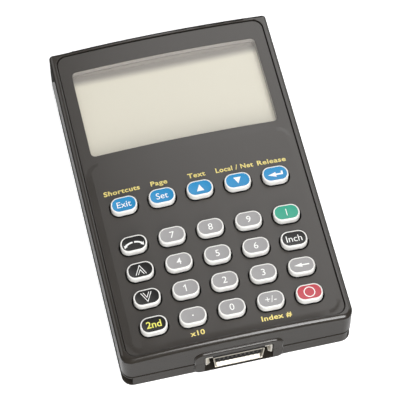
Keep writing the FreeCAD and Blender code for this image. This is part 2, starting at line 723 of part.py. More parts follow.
def connector_latches():
    """Folded metal ears at both ends of the connector, open towards the shell, which hold the plug."""
    ears = []
    back = SHELL_FRONT + SHELL_DEPTH
    for side in (-1, 1):
        x_low, x_high = sorted((side * LATCH_INNER, side * LATCH_OUTER))
        outline = (x_low, x_high, BOARD_UNDER - LATCH_HEIGHT, BOARD_UNDER)
        x_ends = sorted((side * (LATCH_INNER - CUT_ROOM), side * (LATCH_OUTER - LATCH_OUTER_WALL)))
        z_ends = (outline[2] - CUT_ROOM, outline[3] - LATCH_WALL)
        ear = end_slab(outline, (LATCH_WALL / 2,) * 4, SHELL_FRONT, back)
        hollow = block(*x_ends, SHELL_FRONT - CUT_ROOM, back + CUT_ROOM, *z_ends)
        ears.append(single(ear.cut(hollow).fuse(latch_tab(side, outline[2]))))
    return Part.makeCompound(ears)


def rear_tray():
    """Outer form of the rear cover with its shadow line below the parting line."""
    inset = REAR_INSET
    corners = tuple(max(corner - inset, REAR_EDGE_BREAK) for corner in BODY_CORNERS)
    tray = slab(grown(BODY, -inset), corners, 0.0, PARTING - REVEAL_HEIGHT)
    bottom = min(tray.Faces, key=lambda face: face.CenterOfMass.z)
    tray = tray.makeChamfer(REAR_EDGE_BREAK, bottom.Edges)
    neck_inset = inset + REVEAL_DEPTH
    neck_corners = tuple(max(corner - neck_inset, REAR_EDGE_BREAK) for corner in BODY_CORNERS)
    neck = slab(grown(BODY, -neck_inset), neck_corners, REAR_FLOOR, PARTING)
    return tray.fuse(neck)


def rear_cover():
    """Moulded rear tray: guide channels, screw posts, board supports and the locating lip."""
    lip_outline = grown(BODY, -COVER_WALL - LOCATING_LIP_GAP)
    lip_corner = CONNECTOR_END_CORNER - COVER_WALL - LOCATING_LIP_GAP
    lip_top = PARTING + LOCATING_LIP_HEIGHT
    lip = slab(lip_outline, lip_corner, REAR_FLOOR, lip_top)
    inside = grown(lip_outline, -LOCATING_LIP_WALL)
    cavity = (
        max(inside[0], -HALF_WIDTH + GUIDE_DEPTH_LEFT + GUIDE_WALL),
        min(inside[1], HALF_WIDTH - GUIDE_DEPTH_RIGHT - GUIDE_WALL),
        inside[2],
        inside[3],
    )
    cavity_corner = lip_corner - LOCATING_LIP_WALL
    cover = rear_tray().fuse(lip).cut(slab(cavity, cavity_corner, REAR_FLOOR, RIM_CROWN))
    post_room = slab(cavity, cavity_corner, 0.0, PARTING)
    additions = [below(connector_bump(), PARTING)]
    post_radius = SCREW_HEAD_RADIUS + SCREW_HEAD_GAP + POST_WALL
    cuts = [connector_opening()]
    head_seat = SCREW_HEAD_SINK + SCREW_HEAD_THICKNESS
    for x, y in SCREW_PLACES:
        additions.append(rod(post_radius, x, y, 0.0, PARTING).common(post_room))
        cuts.append(rod(SCREW_RADIUS + SCREW_HEAD_GAP, x, y, -CUT_ROOM, RIM_CROWN))
        cuts.append(rod(SCREW_HEAD_RADIUS + SCREW_HEAD_GAP, x, y, -CUT_ROOM, head_seat))
        cuts.append(rod(BOSS_RADIUS + LOCATING_LIP_GAP, x, y, PARTING, RIM_CROWN))
    for from_top in SUPPORTS_FROM_TOP:
        for x in (-SUPPORT_X, SUPPORT_X):
            additions.append(rod(SUPPORT_RADIUS, x, Y_TOP - from_top, 0.0, BOARD_UNDER))
    guide_y = (Y_BOTTOM - CUT_ROOM, Y_TOP - GUIDE_STOP)
    guide_z = (GUIDE_FLANGE, PARTING - REVEAL_HEIGHT - GUIDE_LIP)
    cuts.append(block(-HALF_WIDTH - CUT_ROOM, -HALF_WIDTH + GUIDE_DEPTH_LEFT, *guide_y, *guide_z))
    cuts.append(block(HALF_WIDTH - GUIDE_DEPTH_RIGHT, HALF_WIDTH + CUT_ROOM, *guide_y, *guide_z))
    return single(cover.fuse(additions).cut(cuts))


def case_screws():
    """Four screws that go in from the back and pull the covers together."""
    screws = []
    for x, y in SCREW_PLACES:
        seat = SCREW_HEAD_SINK + SCREW_HEAD_THICKNESS
        head = rod(SCREW_HEAD_RADIUS, x, y, SCREW_HEAD_SINK, seat)
        shank = rod(SCREW_RADIUS, x, y, seat, PARTING + SCREW_BITE)
        screws.append(single(head.fuse(shank)))
    return Part.makeCompound(screws)


def assembly():
    """Every node of the assembly by name."""
    nodes = {
        "front_cover": front_cover(),
        "rear_cover": rear_cover(),
        "faceplate": faceplate(),
        "display_window": display_window(),
        "lcd_bezel": lcd_bezel(),
        "front_polariser": front_polariser(),
        "lcd_front_glass": lcd_front_glass(),
        "lcd_rear_glass": lcd_rear_glass(),
        "rear_polariser": rear_polariser(),
        "light_guide": light_guide(),
        "elastomer_strip": elastomer_strip(),
        "keypad_mat": keypad_mat(),
        "circuit_board": circuit_board(),
        "controller_chip": chip(
            CONTROLLER_X, CONTROLLER_FROM_TOP, CONTROLLER_SIDE, CONTROLLER_SIDE, CONTROLLER_THICKNESS
        ),
        "memory_chip": chip(MEMORY_X, MEMORY_FROM_TOP, MEMORY_WIDTH, MEMORY_LENGTH, MEMORY_THICKNESS),
        "connector_shell": connector_shell(),
        "connector_insulator": connector_insulator(),
        "connector_contacts": connector_contacts(),
        "connector_latches": connector_latches(),
        "case_screws": case_screws(),
    }
    for name, x, y in key_places():
        nodes[name] = key(x, y)
    return nodes


os.makedirs("parts", exist_ok=True)
for node_name, node_shape in assembly().items():
    node_shape.exportStep("parts/" + node_name + ".step")
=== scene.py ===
"""Dresses the drive operator keypad: finishes, printed keys, labels, mat, screws and studio."""
import logging
import math
from contextlib import contextmanager
from dataclasses import dataclass, field
from enum import Enum
from typing import Any, Callable, Iterator, Mapping, Optional, Sequence, Union

import bmesh
import bpy
from bpy.types import Material, Node, NodeSocket, NodeTree, Object
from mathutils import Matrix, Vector


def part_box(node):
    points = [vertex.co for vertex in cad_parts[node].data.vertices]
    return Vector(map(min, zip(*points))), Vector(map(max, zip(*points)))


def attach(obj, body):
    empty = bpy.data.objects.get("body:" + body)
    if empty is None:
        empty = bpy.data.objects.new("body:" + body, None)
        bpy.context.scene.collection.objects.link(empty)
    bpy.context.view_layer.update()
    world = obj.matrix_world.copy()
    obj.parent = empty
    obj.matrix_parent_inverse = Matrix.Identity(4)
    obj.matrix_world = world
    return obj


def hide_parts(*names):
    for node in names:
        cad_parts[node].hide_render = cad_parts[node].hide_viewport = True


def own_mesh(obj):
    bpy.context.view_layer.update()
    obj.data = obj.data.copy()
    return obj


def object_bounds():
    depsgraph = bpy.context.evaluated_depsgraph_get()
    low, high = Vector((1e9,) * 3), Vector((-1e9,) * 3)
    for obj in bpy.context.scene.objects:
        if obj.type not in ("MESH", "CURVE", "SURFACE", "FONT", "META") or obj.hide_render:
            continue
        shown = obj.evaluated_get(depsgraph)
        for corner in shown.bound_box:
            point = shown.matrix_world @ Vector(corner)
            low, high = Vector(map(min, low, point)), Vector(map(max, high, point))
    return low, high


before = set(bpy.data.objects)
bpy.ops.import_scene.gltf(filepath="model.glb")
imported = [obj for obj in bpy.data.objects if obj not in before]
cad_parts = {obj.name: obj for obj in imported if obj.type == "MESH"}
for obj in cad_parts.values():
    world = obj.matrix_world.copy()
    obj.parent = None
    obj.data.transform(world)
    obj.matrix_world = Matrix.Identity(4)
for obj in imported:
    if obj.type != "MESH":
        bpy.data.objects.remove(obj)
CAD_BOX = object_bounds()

logging.basicConfig(level=logging.INFO, format="%(message)s")
LOG = logging.getLogger("keypad")

MM = 0.001
HOUSING = "housing"
CASE_SLOT = "case_plastic"
FACE_SLOT = "face_plastic"
KEY_SLOT = "key_white"
SCREW_SLOT = "screw_steel"
MAT_SLOT = "silicone"
# Gap that counts as none, and the bend in degrees up to which an edge is shaded smooth
WELD = 0.001 * MM
SMOOTH_ANGLE = 35.0
# Sockets of a node that mixes two colours
MIX_SHARE, MIX_FIRST, MIX_SECOND, MIX_OUT = 0, 6, 7, 2
# Radians that a wave texture of scale 1 turns in a unit of length
WAVE_RATE = 20.0
Point = tuple[float, float]
Place = tuple[float, float, float]
ORIGIN: Place = (0.0, 0.0, 0.0)
ALONG_X: Place = (1.0, 0.0, 0.0)
ALONG_Z: Place = (0.0, 0.0, 1.0)


def linear(code: str) -> tuple[float, float, float, float]:
    """Turns an sRGB hex colour into linear light.

    Args:
        code: The colour as "#RRGGBB".

    Returns:
        Linear red, green and blue, and a full alpha.
    """
    channels = []
    for start in (1, 3, 5):
        value = int(code[start:start + 2], 16) / 255
        channels.append(value / 12.92 if value <= 0.04045 else ((value + 0.055) / 1.055) ** 2.4)
    return (channels[0], channels[1], channels[2], 1.0)


def add_node(
    tree: NodeTree, kind: str, inputs: Optional[Mapping[Any, Any]] = None, **settings: Any
) -> Node:
    """Adds a shader node, sets its properties and fills or links its sockets.

    Args:
        tree: The material's node tree.
        kind: The node's type name.
        inputs: Values or output sockets by the input's name or number.
        **settings: Properties of the node itself.

    Returns:
        The new node.
    """
    node = tree.nodes.new(kind)
    for name, value in settings.items():
        setattr(node, name, value)
    for socket, value in (inputs or {}).items():
        if isinstance(value, NodeSocket):
            tree.links.new(value, node.inputs[socket])
        else:
            node.inputs[socket].default_value = value
    return node


def empty_material(name: str) -> Material:
    """Makes a material that has no nodes yet.

    Args:
        name: The material's name.

    Returns:
        The material.
    """
    made = bpy.data.materials.new(name)
    made.use_nodes = True
    made.node_tree.nodes.clear()
    return made


# Finishes


@dataclass(frozen=True)
class Finish:
    """A surface finish, named for its real material, with sizes in millimetres.

    Attributes:
        name: The material's name.
        colour: Its main colour.
        second: The colour that it drifts to.
        roughness: Its mean roughness.
        spread: How far the roughness varies either way.
        ior: Its index of refraction.
        grain: Width of the surface's grain.
        relief: Height of that grain.
        cloud: Width of the patches in which colour and gloss drift.
        grain_detail: Finer layers in the grain.
        cloud_detail: Finer layers in the patches.
    """

    name: str
    colour: str
    second: str
    roughness: float
    spread: float = 0.04
    ior: float = 1.5
    grain: float = 0.25
    relief: float = 0.004
    cloud: float = 9.0
    grain_detail: float = 2.0
    cloud_detail: float = 3.0

    def material(self) -> Material:
        """Gives the finish's material, which is made on first use.

        Returns:
            The material.
        """
        known = bpy.data.materials.get(self.name)
        if known is not None:
            return known
        made = empty_material(self.name)
        place = add_node(made.node_tree, "ShaderNodeTexCoord").outputs["Object"]
        surface = self.surface(made.node_tree, place)
        add_node(made.node_tree, "ShaderNodeOutputMaterial", {"Surface": surface})
        return made

    def surface(self, tree: NodeTree, place: NodeSocket) -> NodeSocket:
        """Builds the shader of a plain surface.

        Args:
            tree: The material's node tree.
            place: Object coordinates.

        Returns:
            The shader's output socket.
        """
        return self.grained(tree, place, {"IOR": self.ior})

    def grained(self, tree: NodeTree, place: NodeSocket, inputs: Mapping[str, Any]) -> NodeSocket:
        """Builds a shader whose colour and gloss drift in wide soft patches, with a fine raised grain.

        Args:
            tree: The material's node tree.
            place: Coordinates of the patches and of the grain.
            inputs: What else the shader is set to.

        Returns:
            The shader's output socket.
        """
        patches = add_node(
            tree,
            "ShaderNodeTexNoise",
            {"Vector": place, "Scale": 1 / (self.cloud * MM), "Detail": self.cloud_detail},
        ).outputs[0]
        gloss = add_node(
            tree,
            "ShaderNodeMapRange",
            {
                "Value": patches,
                "To Min": self.roughness - self.spread,
                "To Max": self.roughness + self.spread,
            },
        )
        grains = add_node(
            tree,
            "ShaderNodeTexNoise",
            {"Vector": place, "Scale": 1 / (self.grain * MM), "Detail": self.grain_detail},
        ).outputs[0]
        bump = add_node(tree, "ShaderNodeBump", {"Height": grains, "Distance": self.relief * MM})
        shader = add_node(
            tree,
            "ShaderNodeBsdfPrincipled",
            {
                "Base Color": self.tone(tree, place, patches),
                "Roughness": gloss.outputs[0],
                "Normal": bump.outputs["Normal"],
                **inputs,
            },
        )
        return shader.outputs["BSDF"]

    def tone(self, tree: NodeTree, place: NodeSocket, share: NodeSocket) -> NodeSocket:
        """Mixes the base colour from the two colours.

        Args:
            tree: The material's node tree.
            place: Coordinates for a pattern, which a plain surface lacks.
            share: How much of the second colour each spot takes.

        Returns:
            The colour's output socket.
        """
        return add_node(
            tree,
            "ShaderNodeMix",
            {MIX_SHARE: share, MIX_FIRST: linear(self.colour), MIX_SECOND: linear(self.second)},
            data_type="RGBA",
        ).outputs[MIX_OUT]


@dataclass(frozen=True)
class PlatedMetal(Finish):
    """Bright plating on a formed metal part, with faint streaks along the draw.

    Attributes:
        streak: How much longer than wide a streak is.
        bare: How much of the face is bare metal, the rest scatters light.
    """

    streak: float = 12.0
    bare: float = 1.0

    def surface(self, tree: NodeTree, place: NodeSocket) -> NodeSocket:
        """Builds the shader of metal with streaks along Y.

        Args:
            tree: The material's node tree.
            place: Object coordinates.

        Returns:
            The shader's output socket.
        """
        stretch = (1.0, 1 / self.streak, 1.0)
        drawn = add_node(tree, "ShaderNodeMapping", {"Vector": place, "Scale": stretch})
        return self.grained(tree, drawn.outputs["Vector"], {"Metallic": self.bare})


@dataclass(frozen=True)
class ClearPlastic(Finish):
    """Clear plastic that mirrors a little and shows what lies behind it.

    Attributes:
        passed: The tint of what is seen through it.
    """

    passed: str = "#FCFCFB"

    def surface(self, tree: NodeTree, place: NodeSocket) -> NodeSocket:
        """Builds the shader of a mirror by the angle of view over a clear body.

        Args:
            tree: The material's node tree.
            place: Object coordinates.

        Returns:
            The shader's output socket.
        """
        gloss = self.grained(tree, place, {"Metallic": 1.0})
        clear = add_node(tree, "ShaderNodeBsdfTransparent", {"Color": linear(self.passed)})
        mirrored = add_node(tree, "ShaderNodeFresnel", {"IOR": self.ior})
        behind = add_node(tree, "ShaderNodeNewGeometry").outputs["Backfacing"]
        front = add_node(tree, "ShaderNodeMath", {0: 1.0, 1: behind}, operation="SUBTRACT")
        share = add_node(
            tree,
            "ShaderNodeMath",
            {0: mirrored.outputs[0], 1: front.outputs[0]},
            operation="MULTIPLY",
        )
        return add_node(
            tree, "ShaderNodeMixShader", {0: share.outputs[0], 1: clear.outputs[0], 2: gloss}
        ).outputs[0]


@dataclass(frozen=True)
class DisplayFilm(Finish):
    """Satin film over a character display, its blank cells just showing.

    Attributes:
        cell: Width and height of a character cell.
        seam: Width of the line between cells.
        contrast: How much of the second colour a line takes.
        shadow_colour: Grey of a painted shadow along the far edge, where the window's far wall shades
            the film.
        shadow_start: Where along Y that painted shadow reaches its full grey.
        shadow_fade: Width over which the painted shadow softens towards the near edge.
    """

    cell: Point = (2.9, 5.4)
    seam: float = 0.3
    contrast: float = 0.18
    shadow_colour: str = "#9F9A96"
    shadow_start: float = 43.8
    shadow_fade: float = 3.1

    def tone(self, tree: NodeTree, place: NodeSocket, share: NodeSocket) -> NodeSocket:
        """Mixes the base colour: cells in rows, and a painted shadow along the far edge.

        Args:
            tree: The material's node tree.
            place: Object coordinates.
            share: Not used, because the cells take the place of the patches.

        Returns:
            The colour's output socket.
        """
        cells = add_node(
            tree,
            "ShaderNodeTexBrick",
            {
                "Vector": place,
                "Color1": linear(self.colour),
                "Color2": linear(self.colour),
                "Mortar": linear(self.second),
                "Scale": 1 / MM,
                "Mortar Size": self.seam / 2,
                "Mortar Smooth": 1.0,
                "Brick Width": self.cell[0],
                "Row Height": self.cell[1],
            },
            offset=0.0,
        ).outputs["Color"]
        film = add_node(
            tree,
            "ShaderNodeMix",
            {MIX_SHARE: self.contrast, MIX_FIRST: linear(self.colour), MIX_SECOND: cells},
            data_type="RGBA",
        ).outputs[MIX_OUT]
        # Painted shadow: grey towards the far edge, where the window's far wall shades the film
        far_shadow = add_node(
            tree,
            "ShaderNodeMapRange",
            {
                "Value": add_node(tree, "ShaderNodeSeparateXYZ", {0: place}).outputs["Y"],
                "From Min": (self.shadow_start - self.shadow_fade) * MM,
                "From Max": self.shadow_start * MM,
            },
            interpolation_type="SMOOTHSTEP",
        ).outputs[0]
        return add_node(
            tree,
            "ShaderNodeMix",
            {MIX_SHARE: far_shadow, MIX_FIRST: film, MIX_SECOND: linear(self.shadow_colour)},
            data_type="RGBA",
        ).outputs[MIX_OUT]


@dataclass(frozen=True)
class LayeredStrip(Finish):
    """Rubber strip built of thin layers across its length, dark and pale in turn.

    Attributes:
        layer: Thickness of a pair of layers, drawn coarser than the real 0.1 so that it shows.
    """

    layer: float = 0.4

    def tone(self, tree: NodeTree, place: NodeSocket, share: NodeSocket) -> NodeSocket:
        """Mixes the base colour in bands across X.

        Args:
            tree: The material's node tree.
            place: Object coordinates.
            share: Not used, because the bands take the place of the patches.

        Returns:
            The colour's output socket.
        """
        scale = 2 * math.pi / WAVE_RATE / (self.layer * MM)
        bands = add_node(tree, "ShaderNodeTexWave", {"Vector": place, "Scale": scale})
        return super().tone(tree, place, bands.outputs["Fac"])


# ABS from a spark-eroded mould: clear highlights over a fine grain, drawn coarser than the real 0.1
CASE_ABS = Finish("abs_charcoal_grained", "#34302C", "#393530", 0.18, grain=0.3, relief=0.0008)
# ABS from a duller mould: nearly the same charcoal with a wide satin sheen
FACE_ABS = Finish("abs_charcoal_satin", "#37332F", "#3C3834", 0.33, grain=0.22, relief=0.0005)
# Acrylic window with an anti-glare face: a soft reflection and hardly any tint
WINDOW_ACRYLIC = ClearPlastic(
    "acrylic_anti_glare",
    "#FFFFFF",
    "#FFFFFF",
    0.34,
    spread=0.02,
    ior=1.49,
    grain=6.0,
    relief=0.002,
    cloud=30.0,
)
# Saw-cut acrylic edge: scattered light, so it reads as pale grey
WINDOW_EDGE = Finish("acrylic_sawn_edge", "#98938F", "#9F9A96", 0.6, ior=1.49, grain=0.3, relief=0.02)
# Acetate polariser over blank cells: warm cream, satin, with a grey painted shadow along its far edge
DISPLAY_ACETATE = DisplayFilm(
    "acetate_polariser", "#E7E2D4", "#DFDACA", 0.5, ior=1.48, grain=0.2, relief=0.001
)
# Moulded polycarbonate frame: plain mid grey with a dull face
BEZEL_PC = Finish("polycarbonate_grey", "#9B9691", "#A19C98", 0.55)
# Float glass with its ground edges: green-grey and smooth
DISPLAY_GLASS = Finish("soda_glass", "#9FB0A8", "#A8B8B0", 0.12, ior=1.52, relief=0.001)
# Diffuser panel: milky acrylic
DIFFUSER_ACRYLIC = Finish("acrylic_milky", "#E6E8E2", "#EDEFEA", 0.35, ior=1.49)
# Silver-filled layers in a silicone strip
ELASTOMER = LayeredStrip("silicone_layered", "#2B2A2A", "#C7B9B0", 0.6, ior=1.41)
# Silicone mat: soft, dull and a little dusty
SILICONE = Finish("silicone_grey", "#8C8E90", "#979A9C", 0.7, ior=1.41, grain=0.4, relief=0.01)
# Glass-epoxy laminate under green solder mask: weave shows as a slow ripple
SOLDER_MASK = Finish("epoxy_laminate_green", "#1F5A3C", "#2A6A47", 0.35, grain=0.6, relief=0.008)
# Transfer-moulded epoxy: fine and dull black
CHIP_EPOXY = Finish("epoxy_moulded_black", "#232425", "#2A2B2C", 0.65, grain=0.15, relief=0.006)
# Nickel plate on drawn steel, dulled in use: soft, pale and a little warm
NICKEL = PlatedMetal("nickel_plate", "#DDD6C8", "#E5DFD3", 0.5, grain=0.12, relief=0.002, bare=0.6)
# Nickel plate left satin on the folded ears: paler still
NICKEL_SATIN = PlatedMetal(
    "nickel_satin", "#E6E1D6", "#ECE8DF", 0.4, grain=0.12, relief=0.002, bare=0.4
)
# Tin plate on spring bronze, painted dark grey as shade deep inside the connector
TIN_IN_SHADE = PlatedMetal("tin_plate_painted_shade", "#5E5A54", "#69655F", 0.45, grain=0.1, relief=0.001)
# Glass-filled nylon: black, with fibres that roughen it
INSULATOR_NYLON = Finish("nylon_glass_filled", "#121111", "#171616", 0.8, grain=0.2, relief=0.01)
# Zinc plate on a pressed screw
ZINC = PlatedMetal("zinc_plate", "#B9BBBC", "#C6C8C8", 0.32, grain=0.1, relief=0.003, streak=1.0)
# White ABS key cap: smooth with soft gloss
KEY_ABS = Finish("abs_white_gloss", "#F4F2ED", "#F7F6F2", 0.3, grain=0.4, relief=0.002)
# Painted shade: dull black on each cap's sides below the face, where the gap round the key lies in
# shade
KEY_PAINTED_SHADE = Finish("abs_black_painted_shade", "#1A1918", "#1E1D1C", 0.6)


def top_ink(name: str, colour: str, second: str) -> Finish:
    """Gives the ink of a key's top: satin, with a hint of orange peel."""
    return Finish("ink_" + name, colour, second, 0.34, ior=1.43, grain=0.3, relief=0.003)


def letter_ink(name: str, colour: str, second: str) -> Finish:
    """Gives the ink of legends and labels: flat and even."""
    return Finish("ink_" + name, colour, second, 0.4, grain=0.2, relief=0.002)


class PrintInk(Enum):
    """Pad-printed inks on the keys and the face."""

    BLUE = top_ink("blue", "#0488C2", "#0A8DC7")
    GREY = top_ink("grey", "#9E9C9C", "#A3A1A1")
    BLACK = top_ink("black", "#1A1918", "#1F1E1D")
    GREEN = top_ink("green", "#28A184", "#2FA589")
    RED = top_ink("red", "#BF404C", "#C44652")
    WHITE = letter_ink("white", "#FAFAF7", "#FCFCFA")
    YELLOW = letter_ink("yellow", "#EFDB78", "#F2DF82")
    LEMON = letter_ink("lemon", "#F3EF62", "#F5F16C")


# Modelling helpers


def make_active(piece: Object) -> None:
    """Selects one piece alone and makes it the active one.

    Args:
        piece: The piece.
    """
    bpy.ops.object.select_all(action="DESELECT")
    piece.select_set(True)
    bpy.context.view_layer.objects.active = piece


def add_shape(operator: Callable[..., Any], **settings: Any) -> Object:
    """Adds a primitive with nothing else selected, its place and size applied to its mesh.

    Args:
        operator: The operator that adds it.
        **settings: What the operator is told.

    Returns:
        The new piece.
    """
    bpy.ops.object.select_all(action="DESELECT")
    operator(**settings)
    bpy.ops.object.transform_apply(location=True, rotation=False, scale=True)
    return bpy.context.object


@contextmanager
def editing(piece: Object) -> Iterator[None]:
    """Holds a piece in edit mode, at first with nothing selected.

    Args:
        piece: The piece.

    Yields:
        Nothing.
    """
    make_active(piece)
    bpy.ops.object.mode_set(mode="EDIT")
    bpy.ops.mesh.select_all(action="DESELECT")
    yield
    bpy.ops.object.mode_set(mode="OBJECT")


def pick(piece: Object, kind: str, wanted: Callable[[Any], bool]) -> None:
    """Selects what a test wants of a piece that is in edit mode.

    Args:
        piece: The piece being edited.
        kind: "EDGE" or "FACE".
        wanted: The test of one edge or face.
    """
    bpy.ops.mesh.select_mode(type=kind)
    bpy.ops.mesh.select_all(action="DESELECT")
    mesh = bmesh.from_edit_mesh(piece.data)
    for element in mesh.edges if kind == "EDGE" else mesh.faces:
        if wanted(element):
            element.select_set(True)
    mesh.select_flush_mode()
    bmesh.update_edit_mesh(piece.data)


def at_level(level: float) -> Callable[[Any], bool]:
    """Gives a test of edges and faces that lie wholly at one height."""
    return lambda element: all(abs(corner.co.z - level) < WELD for corner in element.verts)


def grow_face(scale: Point, depth: float) -> None:
    """Steps the selected face out or in about the origin and then pushes it along Z.

    Args:
        scale: Growth of the face in X and Y.
        depth: Distance that it is then extruded, upwards if positive.
    """
    bpy.ops.mesh.extrude_region_move()
    bpy.ops.transform.resize(value=(scale[0], scale[1], 1.0), center_override=ORIGIN)
    bpy.ops.mesh.extrude_region_move(TRANSFORM_OT_translate={"value": (0.0, 0.0, depth)})


def apply_modifier(piece: Object, kind: str, **settings: Any) -> None:
    """Adds a modifier to a piece and applies it.

    Args:
        piece: The piece.
        kind: The modifier's type.
        **settings: Its settings.
    """
    make_active(piece)
    modifier = piece.modifiers.new(kind.lower(), kind)
    for name, value in settings.items():
        setattr(modifier, name, value)
    bpy.ops.object.modifier_apply(modifier=modifier.name)


def smooth(piece: Object) -> None:
    """Shades a piece smooth except at its sharp edges."""
    make_active(piece)
    bpy.ops.object.shade_smooth_by_angle(angle=math.radians(SMOOTH_ANGLE))


def join(name: str, pieces: Sequence[Object]) -> Object:
    """Joins several pieces into one.

    Args:
        name: Name of the joined piece.
        pieces: The pieces, of which the first takes the others in.

    Returns:
        The joined piece.
    """
    make_active(pieces[0])
    for piece in pieces:
        piece.select_set(True)
    bpy.ops.object.join()
    pieces[0].name = name
    return pieces[0]


def copy_of(name: str, source: Object) -> Object:
    """Copies a piece, with a mesh of its own.

    Args:
        name: Name of the copy.
        source: The piece that is copied.

    Returns:
        The copy.
    """
    piece = bpy.data.objects.new(name, source.data.copy())
    bpy.context.scene.collection.objects.link(piece)
    return piece


def welded_copy(name: str, node: str, flat: float = 0.0) -> Object:
    """Copies a node of the frame, with its loose triangles welded and its materials taken off.

    Args:
        name: Name of the copy.
        node: The node that is copied.
        flat: Bend in degrees below which triangles become one face, or 0 to leave them.

    Returns:
        The copy.
    """
    piece = copy_of(name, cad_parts[node])
    piece.data.materials.clear()
    with editing(piece):
        bpy.ops.mesh.customdata_custom_splitnormals_clear()
        bpy.ops.mesh.select_all(action="SELECT")
        bpy.ops.mesh.remove_doubles(threshold=WELD)
        if flat > 0:
            bpy.ops.mesh.dissolve_limited(angle_limit=math.radians(flat))
    return piece


def dress(piece: Object, *finishes: Finish) -> None:
    """Gives a piece's material slots their finishes.

    Args:
        piece: The piece.
        *finishes: The finishes, in the order of the slots.
    """
    slots = piece.data.materials
    while len(slots) < len(finishes):
        slots.append(None)
    for index, finish in enumerate(finishes):
        slots[index] = finish.material()


def dress_nodes(finishes: Mapping[str, Finish]) -> None:
    """Gives nodes of the frame their finishes.

    Args:
        finishes: The finish of each node, by the node's name.
    """
    for node, finish in finishes.items():
        dress(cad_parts[node], finish)
        LOG.info("%s dressed", node)


def settle(piece: Object, body: str, slot: str, *nodes: str) -> None:
    """Hands a finished piece to the frame.

    Args:
        piece: The piece, in place.
        body: The body that it rides on.
        slot: The record's material slot that it stands for; not used.
        *nodes: CAD nodes that it replaces.
    """
    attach(piece, body)
    if nodes:
        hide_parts(*nodes)
    LOG.info("%s rides on %s", piece.name, body)


# Flat signs and letters, drawn about the origin in millimetres


# Lettering at type size 1: height of a capital, steps in a curve, gap that is closed in an outline,
# and bend in degrees that is straightened
CAP_SHARE = 0.682
CURVE_STEPS = 5
OUTLINE_GAP = 0.001
OUTLINE_BEND = 0.5


def scale_to_metres(piece: Object) -> None:
    """Turns a piece drawn in millimetres into metres.

    Args:
        piece: The piece.
    """
    make_active(piece)
    piece.scale = (MM, MM, MM)
    bpy.ops.object.transform_apply(location=False, rotation=False, scale=True)


def stroke(path: Sequence[Point], width: float, closed: bool = False) -> Object:
    """Draws a flat stroke of even width by bending a strip along a path.

    Args:
        path: Points on the stroke's middle line.
        width: Width of the stroke.
        closed: Whether the stroke runs back to its start.

    Returns:
        The stroke as a flat piece.
    """
    points = [Vector(point) for point in path]
    last = len(points) - 1
    rails = []
    for index, point in enumerate(points):
        before = points[index - 1] if closed or index > 0 else None
        after = points[(index + 1) % len(points)] if closed or index < last else None
        into = (point - before).normalized() if before else (after - point).normalized()
        out = (after - point).normalized() if after else into
        along = (into + out).normalized()
        across = Vector((-along.y, along.x)) * (width / 2 / along.dot(into))
        rails += [point - across, point + across]
    if closed:
        rails += rails[:2]
    steps = len(rails) // 2 - 1
    piece = add_shape(bpy.ops.mesh.primitive_grid_add, x_subdivisions=steps, y_subdivisions=1, size=1.0)
    strip = sorted(piece.data.vertices, key=lambda vertex: (round(vertex.co.x, 4), vertex.co.y))
    for vertex, place in zip(strip, rails):
        vertex.co = place.to_3d()
    with editing(piece):
        bpy.ops.mesh.select_all(action="SELECT")
        bpy.ops.mesh.remove_doubles(threshold=width / 100)
    return piece


def wedge(tip: Point, foot: Point, width: float) -> Object:
    """Draws a filled triangle.

    Args:
        tip: Its point.
        foot: Middle of the side opposite.
        width: Length of that side.

    Returns:
        The triangle as a flat piece.
    """
    point = Vector(tip)
    middle = Vector(foot)
    along = (point - middle).normalized()
    across = Vector((-along.y, along.x)) * (width / 2)
    piece = add_shape(bpy.ops.mesh.primitive_circle_add, vertices=3, radius=width, fill_type="NGON")
    corners = (point, middle + across, middle - across)
    for index, corner in zip(piece.data.polygons[0].vertices, corners):
        piece.data.vertices[index].co = corner.to_3d()
    return piece


def lettering(
    words: str, cap_height: float, width: Optional[float], weight: float, spacing: float = 1.0
) -> Object:
    """Sets words as a flat piece, centred on the middle of its capitals.

    Args:
        words: What is set.
        cap_height: Height of a capital.
        width: Width that the words are fitted to, or None for their own.
        weight: How far the outline is fattened, in shares of the type size.
        spacing: How far apart the letters stand, as a share of the usual.

    Returns:
        The words as a flat piece.
    """
    bpy.ops.object.select_all(action="DESELECT")
    bpy.ops.object.text_add()
    typeset = bpy.context.object.data
    typeset.body = words
    typeset.offset = weight
    typeset.space_character = spacing
    typeset.resolution_u = CURVE_STEPS
    bpy.ops.object.convert(target="MESH")
    piece = bpy.context.object
    with editing(piece):
        bpy.ops.mesh.select_all(action="SELECT")
        bpy.ops.mesh.remove_doubles(threshold=OUTLINE_GAP)
        bpy.ops.mesh.dissolve_limited(angle_limit=math.radians(OUTLINE_BEND))
    edges = [vertex.co.x for vertex in piece.data.vertices]
    size = cap_height / CAP_SHARE
    across = size if width is None else width / (max(edges) - min(edges))
    middle = (max(edges) + min(edges)) / 2
    for vertex in piece.data.vertices:
        vertex.co.x = (vertex.co.x - middle) * across
        vertex.co.y = (vertex.co.y - CAP_SHARE / 2) * size
    return piece


class Sign(Enum):
    """Signs that are drawn instead of lettered."""

    UP = "up"
    DOWN = "down"
    ENTER = "enter"
    BACK = "back"
    DIRECTION = "direction"
    PAGE_UP = "page up"
    PAGE_DOWN = "page down"
    START = "start"
    STOP = "stop"
    ONE = "1"
    POINT = "."


